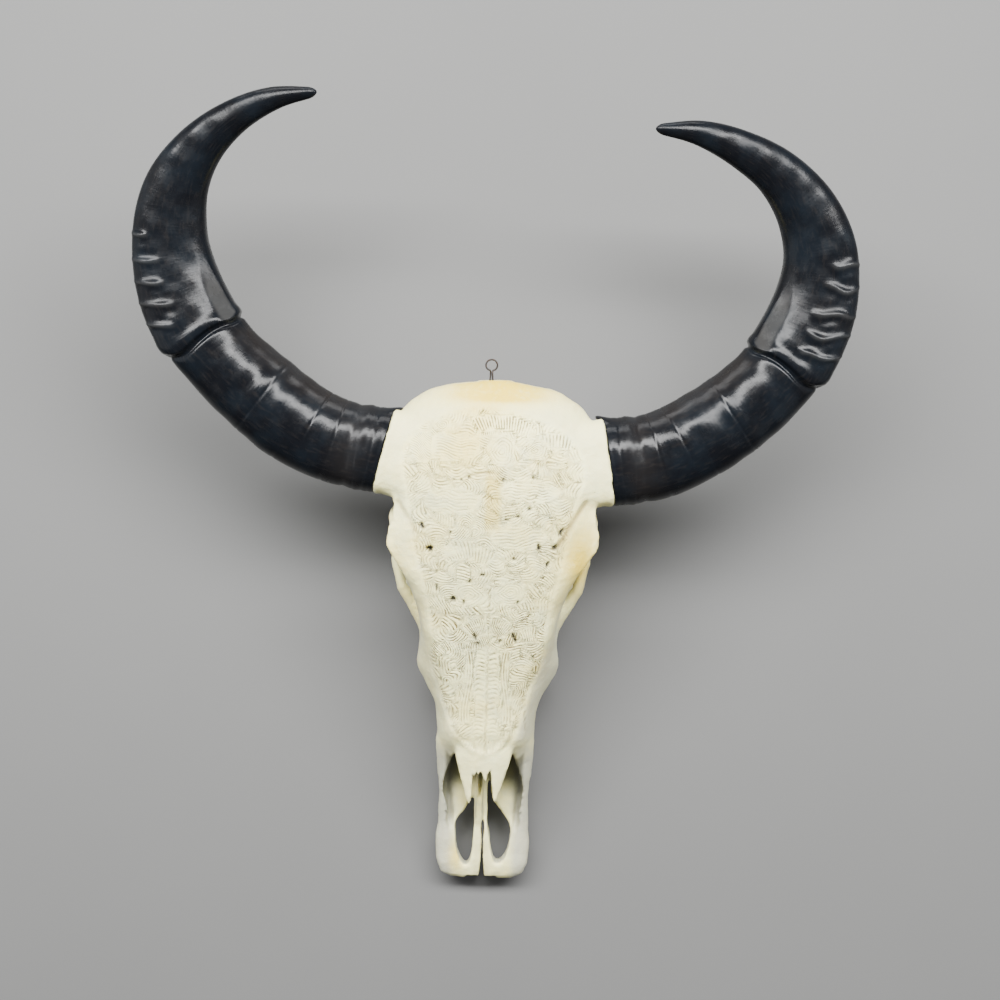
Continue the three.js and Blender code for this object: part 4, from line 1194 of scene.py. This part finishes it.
def tooth_rings(x, y, length, width, side):
    """Rounded box sections from the worn face up, pinched by two side folds;
    the worn face is shallow crescents inside a raised enamel rim."""
    a = np.linspace(0, 2 * math.pi, 64, endpoint=False)
    c, s = np.cos(a), np.sin(a)
    across = (width / 2 - 0.3) * signed_power(c, 0.6)
    along = (length / 2 - 0.6) * signed_power(s, 0.7)
    fold = 0.10 * bump(along, 0, length * 0.10) + 0.05 * bump(np.abs(along), length * 0.3, length * 0.07)
    across = across * (1 - fold)
    rows, grooves = [], []
    for share in (0.25, 0.45, 0.62, 0.78, 0.9, 1.0):
        dip = 1.1 * (1 - ramp(share, 0.88, 0.93)) * (0.4 + 0.6 * bump(share, 0.62, 0.16))
        rows.append(np.stack([side * (x + across * share), y + along * share,
                              CLEARANCE + dip + 0 * a], 1))
        grooves.append(np.full(64, 0.9 * bump(share, 0.62, 0.1) + 0.5 * bump(share, 0.25, 0.1)))
    for share in np.linspace(0.06, 1, 9):
        spread = 1 - 0.12 * share
        rows.append(np.stack([side * (x + across * spread), y + along * spread,
                              SOCKET_TOP * share + 0 * a], 1))
        grooves.append(np.clip(fold * 7, 0, 1) * (0.8 - 0.3 * share))
    return np.array(rows), np.array(grooves)


class SKULL_OT_teeth(bpy.types.Operator):
    """Build the twelve cheek teeth"""
    bl_idname = "skull.teeth"
    bl_label = "Cheek teeth"

    def execute(self, context):
        material = tooth_material(context.scene.skull_colours)
        for side, word in ((-1, "left"), (1, "right")):
            for (name, _, _), place in zip(TEETH, tooth_places()):
                rings, grooves = tooth_rings(*place, side)
                obj = closed_tube(f"worn_{name}_{word}", rings)
                set_values(obj, "groove", np.concatenate([grooves.ravel(), [0.6, 0.0]]))
                fix_outside(obj)
                finish_piece(obj, material, "tooth", f"{name}_{word}")
        return {"FINISHED"}


def fix_outside(obj):
    """Turn a closed mesh's faces out where its signed volume is negative."""
    mesh = obj.data
    mesh.calc_loop_triangles()
    points = np.empty(len(mesh.vertices) * 3, np.float32)
    mesh.vertices.foreach_get("co", points)
    points = points.reshape(-1, 3)
    triangles = np.empty(len(mesh.loop_triangles) * 3, np.int32)
    mesh.loop_triangles.foreach_get("vertices", triangles)
    a, b, c = points[triangles.reshape(-1, 3)].transpose(1, 0, 2)
    if np.einsum("ij,ij->", a, np.cross(b, c)) < 0:
        mesh.flip_normals()


def wire_line():
    """Out of the crest, round a ring and back in, as a fine line of points."""
    a = np.linspace(-0.42 * math.pi, 1.42 * math.pi, 14)
    ring = np.stack([-4.1 + 5.4 * np.cos(a), 517.0 + 5.2 * np.sin(a), 159.2 + 0.9 * np.sin(a / 2)], 1)
    back = np.array([[-4.9, 509.5, 158.6], [-5.3, 503, 158.3], [-5.5, 494, 158]])
    out = np.array([[-2.5, 494, 158], [-2.7, 503, 158.4], [-3.2, 509.5, 159]])
    return np.concatenate([out, ring, back])


class SKULL_OT_wire(bpy.types.Operator):
    """Build the hanging wire loop behind the crest"""
    bl_idname = "skull.wire"
    bl_label = "Hanging wire"

    def execute(self, context):
        radius = context.scene.skull_sizes.wire_radius
        v = np.linspace(0, 1, 160)
        line = path_points(wire_line(), v)
        way = np.gradient(line, axis=0)
        way /= np.linalg.norm(way, axis=1)[:, None]
        up = np.tile([0.0, 0.0, 1.0], (len(v), 1))
        side = np.cross(way, up)
        side /= np.linalg.norm(side, axis=1)[:, None]
        up = np.cross(side, way)
        a = np.linspace(0, 2 * math.pi, 14, endpoint=False)
        rings = (line[:, None] + side[:, None] * (radius * np.cos(a))[None, :, None]
                 + up[:, None] * (radius * np.sin(a))[None, :, None])
        obj = closed_tube("bent_hanging_wire", rings)
        fix_outside(obj)
        finish_piece(obj, wire_material(context.scene.skull_colours), "wire", "hanging_wire")
        return {"FINISHED"}


class SKULL_OT_stage(bpy.types.Operator):
    """Make the floor, the lights and the camera"""
    bl_idname = "skull.stage"
    bl_label = "Stage"

    def execute(self, context):
        sizes = context.scene.skull_sizes
        low, high = -FLOOR_HALF, FLOOR_HALF
        floor = new_object("pale_floor", [(low, low, 0), (high, low, 0), (high, high, 0), (low, high, 0)],
                           [(0, 1, 2, 3)], smooth=False)
        floor.data.materials.append(floor_material(context.scene.skull_colours))
        target = at_place([7.5, 391, 0])  # point below the camera
        # name, offset from the middle, width and depth in metres, watts
        lights = (("long_softbox", (0.0, 1.0, 1.8), 3.8, 0.5, 305.0),
                  ("low_softbox", (-0.3, 2.2, 0.60), 2.4, 0.5, 36.0),
                  ("left_fill", (-3.2, 0.3, 1.2), 3.4, 3.4, 50.0),
                  ("right_fill", (3.2, -0.2, 1.2), 3.4, 3.4, 23.0))
        for name, offset, wide, tall, power in lights:
            data = bpy.data.lights.new(name, "AREA")
            data.shape = "RECTANGLE"
            data.size, data.size_y = wide, tall
            data.energy = power
            lamp = bpy.data.objects.new(name, data)
            lamp.location = target + np.array(offset)
            way = -np.array(offset) + np.array([0, 0, 0.1])
            lamp.rotation_euler = vector_angles(way)
            context.scene.collection.objects.link(lamp)
        world = bpy.data.worlds.new("studio")
        world.use_nodes = True
        world.node_tree.nodes["Background"].inputs[0].default_value = (0.95, 0.97, 1.0, 1)
        world.node_tree.nodes["Background"].inputs[1].default_value = 0.2
        context.scene.world = world
        data = bpy.data.cameras.new("above")
        data.sensor_width = 36.0
        data.lens = sizes.camera_lens
        camera = bpy.data.objects.new("above", data)
        camera.location = (target[0], target[1], sizes.camera_height)
        camera.rotation_euler = (0, 0, sizes.camera_turn)
        context.scene.collection.objects.link(camera)
        context.scene.camera = camera
        return {"FINISHED"}


def vector_angles(way):
    """Euler angles that point a lamp's -Z along a direction."""
    way = np.array(way, float) / np.linalg.norm(way)
    tilt = math.acos(-way[2])
    return (tilt, 0, math.atan2(-way[0], way[1]))


class SKULL_PT_panel(bpy.types.Panel):
    """Sidebar panel that lists the builders"""
    bl_label = "Carved skull"
    bl_idname = "SKULL_PT_panel"
    bl_space_type = "VIEW_3D"
    bl_region_type = "UI"
    bl_category = "Skull"

    def draw(self, context):
        layout = self.layout
        for group in (context.scene.skull_sizes, context.scene.skull_colours):
            for name in group.__annotations__:
                layout.prop(group, name)
        for operator in OPERATORS:
            layout.operator(operator.bl_idname)


OPERATORS = (SKULL_OT_bone, SKULL_OT_horns, SKULL_OT_teeth, SKULL_OT_wire, SKULL_OT_stage)
CLASSES = (SkullColours, SkullSizes, *OPERATORS, SKULL_PT_panel)


def register():
    """Add the classes and their settings to Blender."""
    for item in CLASSES:
        bpy.utils.register_class(item)
    bpy.types.Scene.skull_colours = bpy.props.PointerProperty(type=SkullColours)
    bpy.types.Scene.skull_sizes = bpy.props.PointerProperty(type=SkullSizes)


def unregister():
    """Take the classes and their settings out again."""
    del bpy.types.Scene.skull_sizes
    del bpy.types.Scene.skull_colours
    for item in reversed(CLASSES):
        bpy.utils.unregister_class(item)


def main():
    """Build every piece and the stage."""
    register()
    bpy.ops.skull.bone()
    bpy.ops.skull.horns()
    bpy.ops.skull.teeth()
    bpy.ops.skull.wire()
    bpy.ops.skull.stage()


if __name__ == "__main__":
    main()
